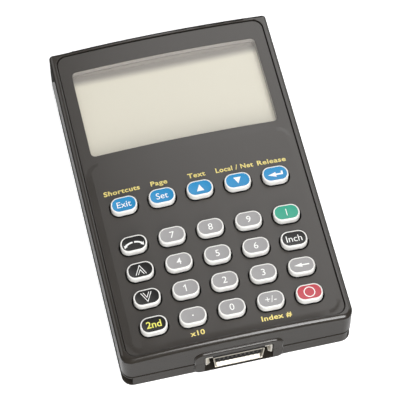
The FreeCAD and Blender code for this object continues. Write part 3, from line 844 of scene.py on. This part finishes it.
@dataclass(frozen=True)
class SignMaker:
    """Sizes of the signs on the keys, in millimetres."""

    arrow_width: float = 2.15
    arrow_height: float = 2.1
    line_length: float = 4.4
    enter_head: Point = (2.3, 1.55)
    enter_line: float = 0.5
    enter_riser: float = 0.95
    back_head: Point = (2.3, 1.3)
    back_line: float = 0.38
    turn_radius: float = 4.0
    turn_start: float = 3.0
    turn_end: float = 36.0
    turn_line: float = 0.5
    turn_head: Point = (0.95, 1.15)
    turn_steps: int = 8
    chevron_line: float = 0.2
    chevrons: tuple[Point, Point] = ((3.0, 2.9), (1.65, 1.55))
    bar: Point = (0.21, 2.2)
    ring_radius: float = 1.5
    ring_line: float = 0.27
    one: Point = (0.27, 2.0)
    one_flag: Point = (-0.62, 0.52)
    dot: float = 0.42
    ring_steps: int = 40

    def draw(self, sign: Sign) -> Object:
        """Draws one sign.

        Args:
            sign: Which sign.

        Returns:
            The sign as one flat piece about the origin.
        """
        makers = {
            Sign.UP: lambda: self.arrow(1.0),
            Sign.DOWN: lambda: self.arrow(-1.0),
            Sign.ENTER: self.enter,
            Sign.BACK: self.back,
            Sign.DIRECTION: self.direction,
            Sign.PAGE_UP: lambda: self.page(1.0),
            Sign.PAGE_DOWN: lambda: self.page(-1.0),
            Sign.START: self.start,
            Sign.STOP: self.stop,
            Sign.ONE: self.figure_one,
            Sign.POINT: self.point,
        }
        return join("sign", makers[sign]())

    def arrow(self, way: float) -> list[Object]:
        """Draws a plain triangle that points up, or down where way is -1."""
        half = way * self.arrow_height / 2
        return [wedge((0.0, half), (0.0, -half), self.arrow_width)]

    def enter(self) -> list[Object]:
        """Draws an arrow to the left whose tail is bent up.

        Returns:
            Its head and its tail.
        """
        level = -self.enter_riser / 3
        left = -self.line_length / 2
        neck = left + self.enter_head[0]
        right = self.line_length / 2 - self.enter_line / 2
        tail = [(neck, level), (right, level), (right, level + self.enter_riser)]
        return [wedge((left, level), (neck, level), self.enter_head[1]), stroke(tail, self.enter_line)]

    def back(self) -> list[Object]:
        """Draws a straight arrow to the left.

        Returns:
            Its head and its tail.
        """
        left = -self.line_length / 2
        neck = left + self.back_head[0]
        tail = [(neck, 0.0), (-left, 0.0)]
        return [wedge((left, 0.0), (neck, 0.0), self.back_head[1]), stroke(tail, self.back_line)]

    def direction(self) -> list[Object]:
        """Draws two arrows that turn away from each other over an arc.

        Returns:
            The tail and the head of each arrow.
        """
        drop = self.turn_radius * (1 + math.cos(math.radians(self.turn_end))) / 2
        pieces = []
        for side in (-1.0, 1.0):
            path = []
            for step in range(self.turn_steps + 1):
                share = step / self.turn_steps
                angle = math.radians(self.turn_start + share * (self.turn_end - self.turn_start))
                x = side * self.turn_radius * math.sin(angle)
                path.append((x, self.turn_radius * math.cos(angle) - drop))
            end = Vector(path[-1])
            heading = (end - Vector(path[-2])).normalized()
            heading = (heading + Vector((0.0, -1.0))).normalized()
            tip = end + heading * self.turn_head[0]
            pieces.append(stroke(path, self.turn_line))
            pieces.append(wedge(tuple(tip), tuple(end), self.turn_head[1]))
        return pieces

    def page(self, way: float) -> list[Object]:
        """Draws one chevron inside another.

        Args:
            way: 1 where they point up and -1 where they point down.

        Returns:
            The two chevrons.
        """
        low = -self.chevrons[0][1] / 2
        pieces = []
        for width, height in self.chevrons:
            path = [(-width / 2, way * low), (0.0, way * (low + height)), (width / 2, way * low)]
            pieces.append(stroke(path, self.chevron_line))
        return pieces

    def start(self) -> list[Object]:
        """Draws an upright bar."""
        half = self.bar[1] / 2
        return [stroke([(0.0, -half), (0.0, half)], self.bar[0])]

    def stop(self) -> list[Object]:
        """Draws a ring.

        Returns:
            The ring.
        """
        path = []
        for step in range(self.ring_steps):
            angle = 2 * math.pi * step / self.ring_steps
            path.append((self.ring_radius * math.cos(angle), self.ring_radius * math.sin(angle)))
        return [stroke(path, self.ring_line, closed=True)]

    def figure_one(self) -> list[Object]:
        """Draws a figure 1 with its flag.

        Returns:
            The figure.
        """
        half = self.one[1] / 2
        flag = (self.one_flag[0], half - self.one_flag[1])
        return [stroke([flag, (0.0, half), (0.0, -half)], self.one[0])]

    def point(self) -> list[Object]:
        """Draws a decimal point."""
        half = self.dot / 2
        return [stroke([(-half, 0.0), (half, 0.0)], self.dot)]


# Sub-assemblies


@dataclass(frozen=True)
class ArchedFace:
    """The keypad's front: a shallow arch across its width, level along its length.

    Attributes:
        crown: Height of the rim's arch at its middle.
        radius: Radius of the arch.
    """

    crown: float
    radius: float = 368.0 * MM

    def height(self, x: float, offset: float) -> float:
        """Gives the height at x of the arch that lies offset above the rim's own."""
        return self.crown - self.radius + math.sqrt((self.radius + offset) ** 2 - x ** 2)

    def lay(self, piece: Object, x: float, y: float, offset: float, low: float = 0.0) -> None:
        """Wraps a piece that is modelled about the origin onto the arch.

        Args:
            piece: The piece, its Z counted from the offset arch.
            x: Where its middle goes across the face.
            y: Where its middle goes along the face.
            offset: Height of the arch that it lies on, above the rim's own.
            low: Height that no point goes below.
        """
        for vertex in piece.data.vertices:
            across = vertex.co.x + x
            height = self.height(across, offset + vertex.co.z)
            vertex.co = (across, vertex.co.y + y, max(height, low))


@dataclass
class PrintLayer:
    """Printed legends: a thin layer of ink on an arched surface.

    Attributes:
        face: The arch that the print follows.
        thickness: Thickness of the ink, several times the real one so that it never sinks in.
    """

    face: ArchedFace
    thickness: float = 0.03 * MM

    def lay(self, piece: Object, name: str, ink: PrintInk, place: Vector, offset: float) -> None:
        """Thickens a flat sign drawn in millimetres and lays it on the arch.

        Args:
            piece: The flat sign.
            name: Name of the finished print.
            ink: Its ink.
            place: Where its middle goes.
            offset: Height of the surface under it, above the rim's arch.
        """
        piece.name = name
        scale_to_metres(piece)
        apply_modifier(piece, "SOLIDIFY", thickness=self.thickness, offset=1.0, use_even_offset=False)
        self.face.lay(piece, place.x, place.y, offset)
        smooth(piece)
        dress(piece, ink.value)


@dataclass(frozen=True)
class KeyFace:
    """What one key carries.

    Attributes:
        node: The key's node and body.
        ink: Ink of its printed top.
        legend: Words or a sign.
        legend_ink: Ink of the legend.
        cap_height: Height of a capital, in millimetres.
        weight: How far its letters are fattened.
    """

    node: str
    ink: PrintInk
    legend: Union[str, Sign]
    legend_ink: PrintInk = PrintInk.WHITE
    cap_height: float = 2.0
    weight: float = -0.002


def digit(figure: str) -> KeyFace:
    """Gives the face of a digit key."""
    return KeyFace("key_" + figure, PrintInk.GREY, figure, weight=0.002)


KEY_FACES = (
    KeyFace("key_escape", PrintInk.BLUE, "Exit", cap_height=1.9),
    KeyFace("key_select", PrintInk.BLUE, "Set", cap_height=1.9),
    KeyFace("key_up", PrintInk.BLUE, Sign.UP),
    KeyFace("key_down", PrintInk.BLUE, Sign.DOWN),
    KeyFace("key_enter", PrintInk.BLUE, Sign.ENTER),
    KeyFace("key_direction", PrintInk.BLACK, Sign.DIRECTION),
    KeyFace("key_start", PrintInk.GREEN, Sign.START),
    KeyFace("key_page_up", PrintInk.BLACK, Sign.PAGE_UP),
    KeyFace("key_jog", PrintInk.BLACK, "Inch"),
    KeyFace("key_page_down", PrintInk.BLACK, Sign.PAGE_DOWN),
    KeyFace("key_backspace", PrintInk.GREY, Sign.BACK),
    KeyFace("key_shift", PrintInk.BLACK, "2nd", PrintInk.LEMON, weight=0.014),
    KeyFace("key_point", PrintInk.GREY, Sign.POINT),
    KeyFace("key_sign", PrintInk.GREY, "+/-"),
    KeyFace("key_stop", PrintInk.RED, Sign.STOP),
    KeyFace("key_1", PrintInk.GREY, Sign.ONE),
    *(digit(figure) for figure in "023456789"),
)


@dataclass
class KeyBlock:
    """The 25 push keys: one cap modelled once, copied to each key and printed.

    Attributes:
        face: The arch that the tops follow.
        prints: What lays the legends.
        signs: What draws the signs.
        width: Width of a top.
        depth: Its size along the face.
        corner: Radius of its corners, seen from above.
        corner_steps: Facets of a corner.
        top_rounding: Radius of the edge round the top.
        rounding_steps: Facets of that edge.
        print_margin: White ring round the printed top.
        print_sink: How far the printed top lies below the ring.
        flange: How far the flange stands out under the faceplate.
        flange_top: Height of the flange above the rim's arch.
        flange_thickness: Its thickness.
        stem: Width and depth of the stem.
        arch_cuts: Cuts across a cap that let it bend with the arch.
        shade_top: Height above the rim's arch below which the cap's sides are painted black as shade.
    """

    face: ArchedFace
    prints: PrintLayer
    signs: SignMaker = field(default_factory=SignMaker)
    width: float = 7.7 * MM
    depth: float = 5.15 * MM
    corner: float = 2.4 * MM
    corner_steps: int = 10
    top_rounding: float = 0.35 * MM
    rounding_steps: int = 4
    print_margin: float = 0.45 * MM
    print_sink: float = 0.03 * MM
    flange: float = 1.0 * MM
    flange_top: float = -2.05 * MM
    flange_thickness: float = 0.9 * MM
    stem: Point = (4.6 * MM, 3.2 * MM)
    arch_cuts: int = 5
    shade_top: float = -0.1 * MM

    def build(self) -> None:
        """Models the cap and sets a printed copy on every key."""
        low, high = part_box("key_up")
        cap = self.cap(high.z - self.face.crown, low.z - self.face.crown)
        for key in KEY_FACES:
            self.set_key(cap, key, high.z - self.face.crown)
        bpy.data.objects.remove(cap)

    def cap(self, top: float, bottom: float) -> Object:
        """Models one cap about the origin, with its flange and stem.

        Args:
            top: Height of its top above the rim's arch.
            bottom: Height of the stem's end.

        Returns:
            The cap, with the printed top on its second material slot and the painted shade on the
            third.
        """
        printed, shaded = 1, 2
        size = (self.width, self.depth, top - self.flange_top)
        middle = (0.0, 0.0, (top + self.flange_top) / 2)
        cap = add_shape(bpy.ops.mesh.primitive_cube_add, size=1.0, location=middle, scale=size)
        dress(cap, KEY_ABS, PrintInk.GREY.value, KEY_PAINTED_SHADE)
        with editing(cap):
            pick(cap, "EDGE", lambda edge: abs(edge.verts[0].co.z - edge.verts[1].co.z) > WELD)
            bpy.ops.mesh.bevel(offset=self.corner, segments=self.corner_steps, affect="EDGES")
            pick(cap, "EDGE", at_level(top))
            bpy.ops.mesh.bevel(offset=self.top_rounding, segments=self.rounding_steps, affect="EDGES")
            pick(cap, "FACE", at_level(top))
            bpy.ops.mesh.inset(thickness=self.print_margin - self.top_rounding)
            cap.active_material_index = printed
            bpy.ops.object.material_slot_assign()
            bpy.ops.transform.translate(value=(0.0, 0.0, -self.print_sink))
            pick(cap, "FACE", at_level(self.flange_top))
            flange_size = (self.width + 2 * self.flange, self.depth + 2 * self.flange)
            step_out = (flange_size[0] / self.width, flange_size[1] / self.depth)
            grow_face(step_out, -self.flange_thickness)
            step_in = (self.stem[0] / flange_size[0], self.stem[1] / flange_size[1])
            grow_face(step_in, bottom - self.flange_top + self.flange_thickness)
            for step in range(self.arch_cuts):
                x = self.width * ((step + 1) / (self.arch_cuts + 1) - 0.5)
                bpy.ops.mesh.select_all(action="SELECT")
                bpy.ops.mesh.bisect(plane_co=(x, 0.0, 0.0), plane_no=ALONG_X)
            # Painted shade: the sides below this cut take dull black, as the gap round the key is in
            # shade
            bpy.ops.mesh.select_all(action="SELECT")
            bpy.ops.mesh.bisect(plane_co=(0.0, 0.0, self.shade_top), plane_no=ALONG_Z)
            pick(cap, "FACE", lambda side: side.calc_center_median().z < self.shade_top)
            cap.active_material_index = shaded
            bpy.ops.object.material_slot_assign()
            bpy.ops.mesh.select_all(action="SELECT")
            bpy.ops.mesh.normals_make_consistent(inside=False)
        smooth(cap)
        return cap

    def set_key(self, cap: Object, key: KeyFace, top: float) -> None:
        """Sets one printed key in place of its node.

        Args:
            cap: The cap to copy.
            key: What the key carries.
            top: Height of the cap's top above the rim's arch.
        """
        low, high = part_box(key.node)
        place = (low + high) / 2
        piece = copy_of(key.node + "_cap", cap)
        self.face.lay(piece, place.x, place.y, 0.0, low.z)
        dress(piece, KEY_ABS, key.ink.value, KEY_PAINTED_SHADE)
        settle(piece, key.node, KEY_SLOT, key.node)
        if isinstance(key.legend, Sign):
            legend = self.signs.draw(key.legend)
        else:
            legend = lettering(key.legend, key.cap_height, None, key.weight)
        self.prints.lay(legend, key.node + "_legend", key.legend_ink, place, top - self.print_sink)
        settle(legend, key.node, KEY_SLOT)


@dataclass(frozen=True)
class FieldLabel:
    """Words printed on the key field, in millimetres.

    Attributes:
        name: Name of the print.
        words: What is printed.
        under: The key that it belongs to.
        shift: From that key's middle to its own.
        width: Its width.
    """

    name: str
    words: str
    under: str
    shift: Point
    width: float


FIELD_LABELS = (
    FieldLabel("label_shortcuts", "Shortcuts", "key_escape", (0.45, 5.45), 10.6),
    FieldLabel("label_page", "Page", "key_select", (0.25, 5.45), 4.9),
    FieldLabel("label_text", "Text", "key_up", (0.2, 5.45), 5.2),
    FieldLabel("label_local", "Local / Net", "key_down", (0.3, 5.45), 11.1),
    FieldLabel("label_release", "Release", "key_enter", (0.2, 5.45), 8.5),
    FieldLabel("label_power", "x10", "key_point", (0.25, -4.72), 4.1),
    FieldLabel("label_index", "Index #", "key_sign", (0.55, -4.72), 8.7),
)


@dataclass
class LabelPrint:
    """Yellow words on the key field, each lined up with its key."""

    prints: PrintLayer
    cap_height: float = 1.45
    weight: float = 0.024
    spacing: float = 1.08

    def build(self) -> None:
        """Prints every label."""
        for label in FIELD_LABELS:
            low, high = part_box(label.under)
            place = (low + high) / 2 + Vector((*label.shift, 0.0)) * MM
            piece = lettering(label.words, self.cap_height, label.width, self.weight, self.spacing)
            self.prints.lay(piece, label.name, PrintInk.YELLOW, place, 0.0)
            settle(piece, HOUSING, FACE_SLOT)


@dataclass
class MouldedCase:
    """Covers and faceplate: copies of the moulded nodes with their sharp edges broken.

    Attributes:
        edge_break: Width of the broken edges of the covers.
        face_edge_break: Width of those of the faceplate.
        edge_steps: Facets of a broken edge.
        flat: Bend in degrees below which triangles become one face.
        sharp: Least bend in degrees of an edge that is broken.
        rim_sharp: The same on the front cover, whose rim is already round.
    """

    edge_break: float = 0.07 * MM
    face_edge_break: float = 0.03 * MM
    edge_steps: int = 2
    flat: float = 0.3
    sharp: float = 32.0
    rim_sharp: float = 76.0

    def build(self) -> None:
        """Finishes both covers and the faceplate."""
        self.finish("front_cover", CASE_ABS, CASE_SLOT, self.edge_break, self.rim_sharp)
        self.finish("rear_cover", CASE_ABS, CASE_SLOT, self.edge_break, self.sharp)
        self.finish("faceplate", FACE_ABS, FACE_SLOT, self.face_edge_break, self.sharp)

    def finish(self, node: str, finish: Finish, slot: str, edge_break: float, sharp: float) -> None:
        """Merges a copy of a node into faces, breaks its edges and puts it in the node's place.

        Args:
            node: The node that is copied and replaced.
            finish: Its finish.
            slot: The record's material slot.
            edge_break: Width of the broken edges.
            sharp: Least bend of an edge that is broken, in degrees.
        """
        piece = welded_copy(node + "_finished", node, self.flat)
        apply_modifier(
            piece,
            "BEVEL",
            width=edge_break,
            segments=self.edge_steps,
            limit_method="ANGLE",
            angle_limit=math.radians(sharp),
            use_clamp_overlap=False,
            miter_outer="MITER_SHARP",
        )
        smooth(piece)
        apply_modifier(piece, "WEIGHTED_NORMAL", keep_sharp=True)
        dress(piece, finish)
        settle(piece, HOUSING, slot, node)


@dataclass
class CaseScrews:
    """Four pan-head screws with a cross recess, sunk in the back.

    Attributes:
        head_radius: Radius of the head.
        head_height: Its height.
        head_rounding: Radius of the edge round its top.
        rounding_steps: Facets of that edge.
        shank_radius: Radius of the shank.
        sides: Facets round the screw.
        recess_length: Length of an arm of the cross.
        recess_width: Its width.
        recess_depth: Depth of the cross.
        recess_taper: Size of its floor as a share of its mouth.
    """

    head_radius: float = 1.7 * MM
    head_height: float = 1.2 * MM
    head_rounding: float = 0.45 * MM
    rounding_steps: int = 4
    shank_radius: float = 0.9 * MM
    sides: int = 32
    recess_length: float = 1.9 * MM
    recess_width: float = 0.5 * MM
    recess_depth: float = 0.8 * MM
    recess_taper: float = 0.55

    def build(self) -> None:
        """Models one screw and copies it to the four holes."""
        low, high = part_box("case_screws")
        screw = self.screw(high.z - low.z)
        inset = self.head_radius
        copies = []
        for x in (low.x + inset, high.x - inset):
            for y in (low.y + inset, high.y - inset):
                piece = copy_of("screw", screw)
                for vertex in piece.data.vertices:
                    vertex.co += Vector((x, y, low.z))
                copies.append(piece)
        bpy.data.objects.remove(screw)
        screws = join("case_screws_finished", copies)
        smooth(screws)
        dress(screws, ZINC)
        settle(screws, HOUSING, SCREW_SLOT, "case_screws")

    def screw(self, length: float) -> Object:
        """Models one screw, head down, with its head's top at the origin.

        Args:
            length: Length from the head's top to the point.

        Returns:
            The screw.
        """
        screw = add_shape(
            bpy.ops.mesh.primitive_cylinder_add,
            vertices=self.sides,
            radius=self.head_radius,
            depth=self.head_height,
            location=(0.0, 0.0, self.head_height / 2),
        )
        with editing(screw):
            pick(screw, "EDGE", at_level(0.0))
            bpy.ops.mesh.bevel(offset=self.head_rounding, segments=self.rounding_steps, affect="EDGES")
            pick(screw, "FACE", at_level(self.head_height))
            step = self.shank_radius / self.head_radius
            grow_face((step, step), length - self.head_height)
        cutter = self.recess()
        apply_modifier(screw, "BOOLEAN", object=cutter, operation="DIFFERENCE", solver="EXACT")
        bpy.data.objects.remove(cutter)
        return screw

    def recess(self) -> Object:
        """Models the tapered cross that is cut into the head.

        Returns:
            The cross.
        """
        arms = []
        for size in ((self.recess_length, self.recess_width), (self.recess_width, self.recess_length)):
            bounds = (*size, 2 * self.recess_depth)
            arm = add_shape(bpy.ops.mesh.primitive_cube_add, size=1.0, scale=bounds)
            with editing(arm):
                pick(arm, "FACE", at_level(self.recess_depth))
                taper = (self.recess_taper, self.recess_taper, 1.0)
                bpy.ops.transform.resize(value=taper, center_override=(0.0, 0.0, self.recess_depth))
            arms.append(arm)
        apply_modifier(arms[0], "BOOLEAN", object=arms[1], operation="UNION", solver="EXACT")
        bpy.data.objects.remove(arms[1])
        return arms[0]


@dataclass
class DisplayStack:
    """Window, bezel and the layers of the display: the frame's own meshes with their finishes.

    Attributes:
        upright: Rise of a normal below which a face of the window is one of its edges.
    """

    upright: float = 0.3

    def build(self) -> None:
        """Dresses the display's nodes."""
        self.window()
        dress_nodes({
            "lcd_bezel": BEZEL_PC,
            "front_polariser": DISPLAY_ACETATE,
            "lcd_front_glass": DISPLAY_GLASS,
            "lcd_rear_glass": DISPLAY_GLASS,
            "rear_polariser": DISPLAY_ACETATE,
            "light_guide": DIFFUSER_ACRYLIC,
            "elastomer_strip": ELASTOMER,
        })

    def window(self) -> None:
        """Dresses the window: anti-glare faces, and edges that scatter the light."""
        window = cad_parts["display_window"]
        dress(window, WINDOW_ACRYLIC, WINDOW_EDGE)
        for side in window.data.polygons:
            side.material_index = 1 if abs(side.normal.z) < self.upright else 0
        LOG.info("display_window dressed")


class Electronics:
    """Board, chips and connector: the frame's own meshes with their finishes."""

    def build(self) -> None:
        """Dresses the nodes inside the case and in the connector's opening."""
        dress_nodes({
            "circuit_board": SOLDER_MASK,
            "controller_chip": CHIP_EPOXY,
            "memory_chip": CHIP_EPOXY,
            "connector_shell": NICKEL,
            "connector_insulator": INSULATOR_NYLON,
            "connector_contacts": TIN_IN_SHADE,
            "connector_latches": NICKEL_SATIN,
        })


@dataclass(frozen=True)
class KeypadMat:
    """Silicone mat: a sheet with a hollow bell under each key that flattens as the key goes down.

    Attributes:
        bell_height: Height of a bell above the sheet.
        crushed: Height that is left of it under a pressed key; not used.
        trim: How far above the sheet the bells are cut off.
    """

    bell_height: float = 1.5 * MM
    crushed: float = 0.3 * MM
    trim: float = 0.01 * MM

    def build(self) -> None:
        """Cuts the mat into its sheet and its bells."""
        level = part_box("keypad_mat")[1].z - self.bell_height + self.trim
        settle(self.cut("keypad_mat_sheet", level, False), HOUSING, MAT_SLOT, "keypad_mat")
        make_active(self.cut("keypad_mat_bells", level, True))
        bpy.ops.mesh.separate(type="LOOSE")
        for bell in bpy.context.selected_objects[:]:
            self.set_under_key(bell)

    def cut(self, name: str, level: float, above: bool) -> Object:
        """Gives a closed copy of what lies above or below a level of the mat.

        Args:
            name: Name of the copy.
            level: Height of the cut.
            above: Whether the upper side is kept.

        Returns:
            The copy.
        """
        piece = welded_copy(name, "keypad_mat")
        with editing(piece):
            bpy.ops.mesh.select_all(action="SELECT")
            bpy.ops.mesh.bisect(
                plane_co=(0.0, 0.0, level),
                plane_no=ALONG_Z,
                use_fill=True,
                clear_inner=above,
                clear_outer=not above,
                threshold=WELD,
            )
        smooth(piece)
        dress(piece, SILICONE)
        return piece

    def set_under_key(self, bell: Object) -> None:
        """Names a bell after the key above it and hands it to the frame.

        Args:
            bell: The bell.
        """
        corners = [vertex.co for vertex in bell.data.vertices]
        middle = sum(corners, Vector()) / len(corners)

        def distance(key: KeyFace) -> float:
            """Tells how far a key is from the bell, seen from above."""
            low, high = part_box(key.node)
            return ((low + high) / 2 - middle).to_2d().length

        key = min(KEY_FACES, key=distance)
        bell.name = key.node + "_bell"
        settle(bell, HOUSING, MAT_SLOT)
        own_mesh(bell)


@dataclass(frozen=True)
class Lamp:
    """Soft lamp that faces the keypad, or a card that shows only in its gloss.

    Attributes:
        name: The lamp's name.
        place: Where it hangs, in metres.
        size: Its width and its height in metres.
        power: Its power in watts.
        mirrored: Whether reflections show it.
        lights: Whether it also lights what scatters.
    """

    name: str
    place: Place
    size: Point
    power: float
    mirrored: bool = True
    lights: bool = True

    def hang(self) -> None:
        """Hangs the lamp."""
        light = bpy.data.lights.new(self.name, "AREA")
        light.shape = "RECTANGLE"
        light.size, light.size_y = self.size
        light.energy = self.power
        holder = bpy.data.objects.new(self.name, light)
        holder.location = self.place
        holder.visible_camera = False
        holder.visible_glossy = self.mirrored
        holder.visible_diffuse = self.lights
        holder.rotation_euler = (-Vector(self.place)).to_track_quat("-Z", "Y").to_euler()
        bpy.context.scene.collection.objects.link(holder)


LAMPS = (
    Lamp("lamp_top", (-0.05, 0.25, 1.15), (1.0, 1.0), 4.9, mirrored=False),
    Lamp("lamp_front", (0.24, -0.68, 0.88), (0.5, 0.95), 7.4),
    Lamp("lamp_fill", (-0.15, -1.1, 0.4), (0.8, 0.5), 6.8, mirrored=False),
    Lamp("card_back", (0.37, 0.74, 0.9), (0.82, 0.9), 6.0, lights=False),
    Lamp("card_left", (-0.96, 0.9, 0.65), (1.3, 1.1), 6.5, lights=False),
    Lamp("card_right", (1.0, 0.75, 0.5), (1.2, 1.0), 6.0, lights=False),
    Lamp("card_front", (0.38, -0.95, 0.55), (0.5, 0.4), 6.0, lights=False),
    Lamp("card_rim", (0.3, -0.62, 0.92), (0.6, 0.5), 5.0, lights=False),
)


@dataclass
class Studio:
    """White table in a grey room, soft lamps and the camera at the photograph's angle.

    Attributes:
        floor_size: Width of the floor.
        floor_drop: How far the floor lies below the keypad's back.
        floor_glow: Light that the floor gives to the eye.
        floor_mirror: Share of that light that reflections get.
        floor_colour: Its colour.
        sky: Strength of the light from all round.
        room_size: Width and height of the room that reflections show.
        room_colour: Colour of its walls.
        table_margin: How much of the table reflections show beside the keypad and before its connector.
        azimuth: Degrees that the camera stands to the right of the connector end.
        elevation: Degrees that the camera stands above the floor.
        distance: From the camera to its target.
        target: What the camera looks at.
        lens: Focal length for a sensor 36 mm wide.
    """

    floor_size: float = 4.0
    floor_drop: float = 0.1 * MM
    floor_glow: float = 0.7
    floor_mirror: float = 0.12
    floor_colour: str = "#E6E6E6"
    sky: float = 0.24
    room_size: Point = (3.0, 2.0)
    room_colour: str = "#606060"
    table_margin: Point = (6.0 * MM, 14.0 * MM)
    azimuth: float = -13.123
    elevation: float = 60.397
    distance: float = 666.04 * MM
    target: Place = (0.586 * MM, -1.475 * MM, 7.0 * MM)
    lens: float = 205.23

    def build(self) -> None:
        """Sets up the floor, the light and the camera."""
        bpy.context.scene.view_settings.view_transform = "Standard"
        self.lay_floor()
        self.hang_room()
        self.light_sky()
        for lamp in LAMPS:
            lamp.hang()
        self.place_camera()

    def lay_floor(self) -> None:
        """Lays a white floor that keeps the shadow and shows dimly in reflections."""
        level = (0.0, 0.0, -self.floor_drop)
        floor = add_shape(bpy.ops.mesh.primitive_plane_add, size=self.floor_size, location=level)
        floor.name = "studio_floor"
        floor.visible_diffuse = False
        floor.visible_shadow = False
        made = empty_material("paper_white")
        tree = made.node_tree
        paper = add_node(
            tree, "ShaderNodeBsdfDiffuse", {"Color": linear(self.floor_colour), "Roughness": 1.0}
        )
        seen = self.seen(tree, self.floor_mirror)
        share = add_node(tree, "ShaderNodeMath", {0: seen, 1: self.floor_glow}, operation="MULTIPLY")
        glow = add_node(tree, "ShaderNodeEmission", {"Strength": share.outputs[0]})
        both = add_node(tree, "ShaderNodeAddShader", {0: paper.outputs[0], 1: glow.outputs[0]})
        under = add_node(tree, "ShaderNodeNewGeometry").outputs["Backfacing"]
        clear = add_node(tree, "ShaderNodeBsdfTransparent")
        sided = add_node(
            tree, "ShaderNodeMixShader", {0: under, 1: both.outputs[0], 2: clear.outputs[0]}
        )
        add_node(tree, "ShaderNodeOutputMaterial", {"Surface": sided.outputs[0]})
        floor.data.materials.append(made)

    def hang_room(self) -> None:
        """Hangs grey walls that only reflections show, with a hole for the table round the keypad."""
        width, height = self.room_size
        middle = (0.0, 0.0, height / 2)
        size = (width, width, height)
        room = add_shape(bpy.ops.mesh.primitive_cube_add, size=1.0, location=middle, scale=size)
        room.name = "studio_room"
        low, high = CAD_BOX
        beside, before = self.table_margin
        hole = (high.x - low.x + 2 * beside, high.y - low.y + before)
        with editing(room):
            pick(room, "FACE", at_level(0.0))
            bpy.ops.mesh.extrude_region_move()
            share = (hole[0] / width, hole[1] / width, 1.0)
            bpy.ops.transform.resize(value=share, center_override=ORIGIN)
            bpy.ops.transform.translate(value=(0.0, -before / 2, 0.0))
            bpy.ops.mesh.delete(type="FACE")
        made = empty_material("cloth_grey")
        cloth = add_node(made.node_tree, "ShaderNodeBsdfDiffuse", {"Color": linear(self.room_colour)})
        add_node(made.node_tree, "ShaderNodeOutputMaterial", {"Surface": cloth.outputs[0]})
        room.data.materials.append(made)
        for kind in ("camera", "diffuse", "transmission", "volume_scatter", "shadow"):
            setattr(room, "visible_" + kind, False)

    def seen(self, tree: NodeTree, mirror: float) -> NodeSocket:
        """Tells what the camera sees, also in reflections and through glass, from other light.

        Args:
            tree: The node tree of the floor or of the sky.
            mirror: What reflections get.

        Returns:
            1 for what the camera sees directly or through glass, the mirror's share for reflections
            and 0 for other light.
        """
        path = add_node(tree, "ShaderNodeLightPath")
        glossy = add_node(
            tree, "ShaderNodeMath", {0: path.outputs["Is Glossy Ray"], 1: mirror}, operation="MULTIPLY"
        )
        mirrored = add_node(
            tree,
            "ShaderNodeMath",
            {0: path.outputs["Is Camera Ray"], 1: glossy.outputs[0]},
            operation="MAXIMUM",
        )
        return add_node(
            tree,
            "ShaderNodeMath",
            {0: mirrored.outputs[0], 1: path.outputs["Is Transmission Ray"]},
            operation="MAXIMUM",
        ).outputs[0]

    def light_sky(self) -> None:
        """Lights the scene evenly from all round."""
        world = bpy.data.worlds.new("studio_sky")
        bpy.context.scene.world = world
        world.use_nodes = True
        tree = world.node_tree
        tree.nodes.clear()
        strength = add_node(
            tree,
            "ShaderNodeMapRange",
            {"Value": self.seen(tree, 1.0), "To Min": self.sky, "To Max": 1.0},
        )
        white = add_node(tree, "ShaderNodeBackground", {"Strength": strength.outputs[0]})
        add_node(tree, "ShaderNodeOutputWorld", {"Surface": white.outputs[0]})

    def place_camera(self) -> None:
        """Places the camera at the photograph's angle."""
        turn = math.radians(self.azimuth)
        lift = math.radians(self.elevation)
        level = math.cos(lift)
        away = Vector((math.sin(turn) * level, -math.cos(turn) * level, math.sin(lift)))
        data = bpy.data.cameras.new("camera")
        data.lens = self.lens
        camera = bpy.data.objects.new("camera", data)
        camera.location = Vector(self.target) + away * self.distance
        camera.rotation_euler = (-away).to_track_quat("-Z", "Y").to_euler()
        bpy.context.scene.collection.objects.link(camera)
        bpy.context.scene.camera = camera


def main() -> None:
    """Builds the dressed keypad and its studio."""
    face = ArchedFace(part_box("front_cover")[1].z)
    prints = PrintLayer(face)
    MouldedCase().build()
    DisplayStack().build()
    Electronics().build()
    KeypadMat().build()
    CaseScrews().build()
    KeyBlock(face, prints).build()
    LabelPrint(prints).build()
    Studio().build()


if __name__ == "__main__":
    main()
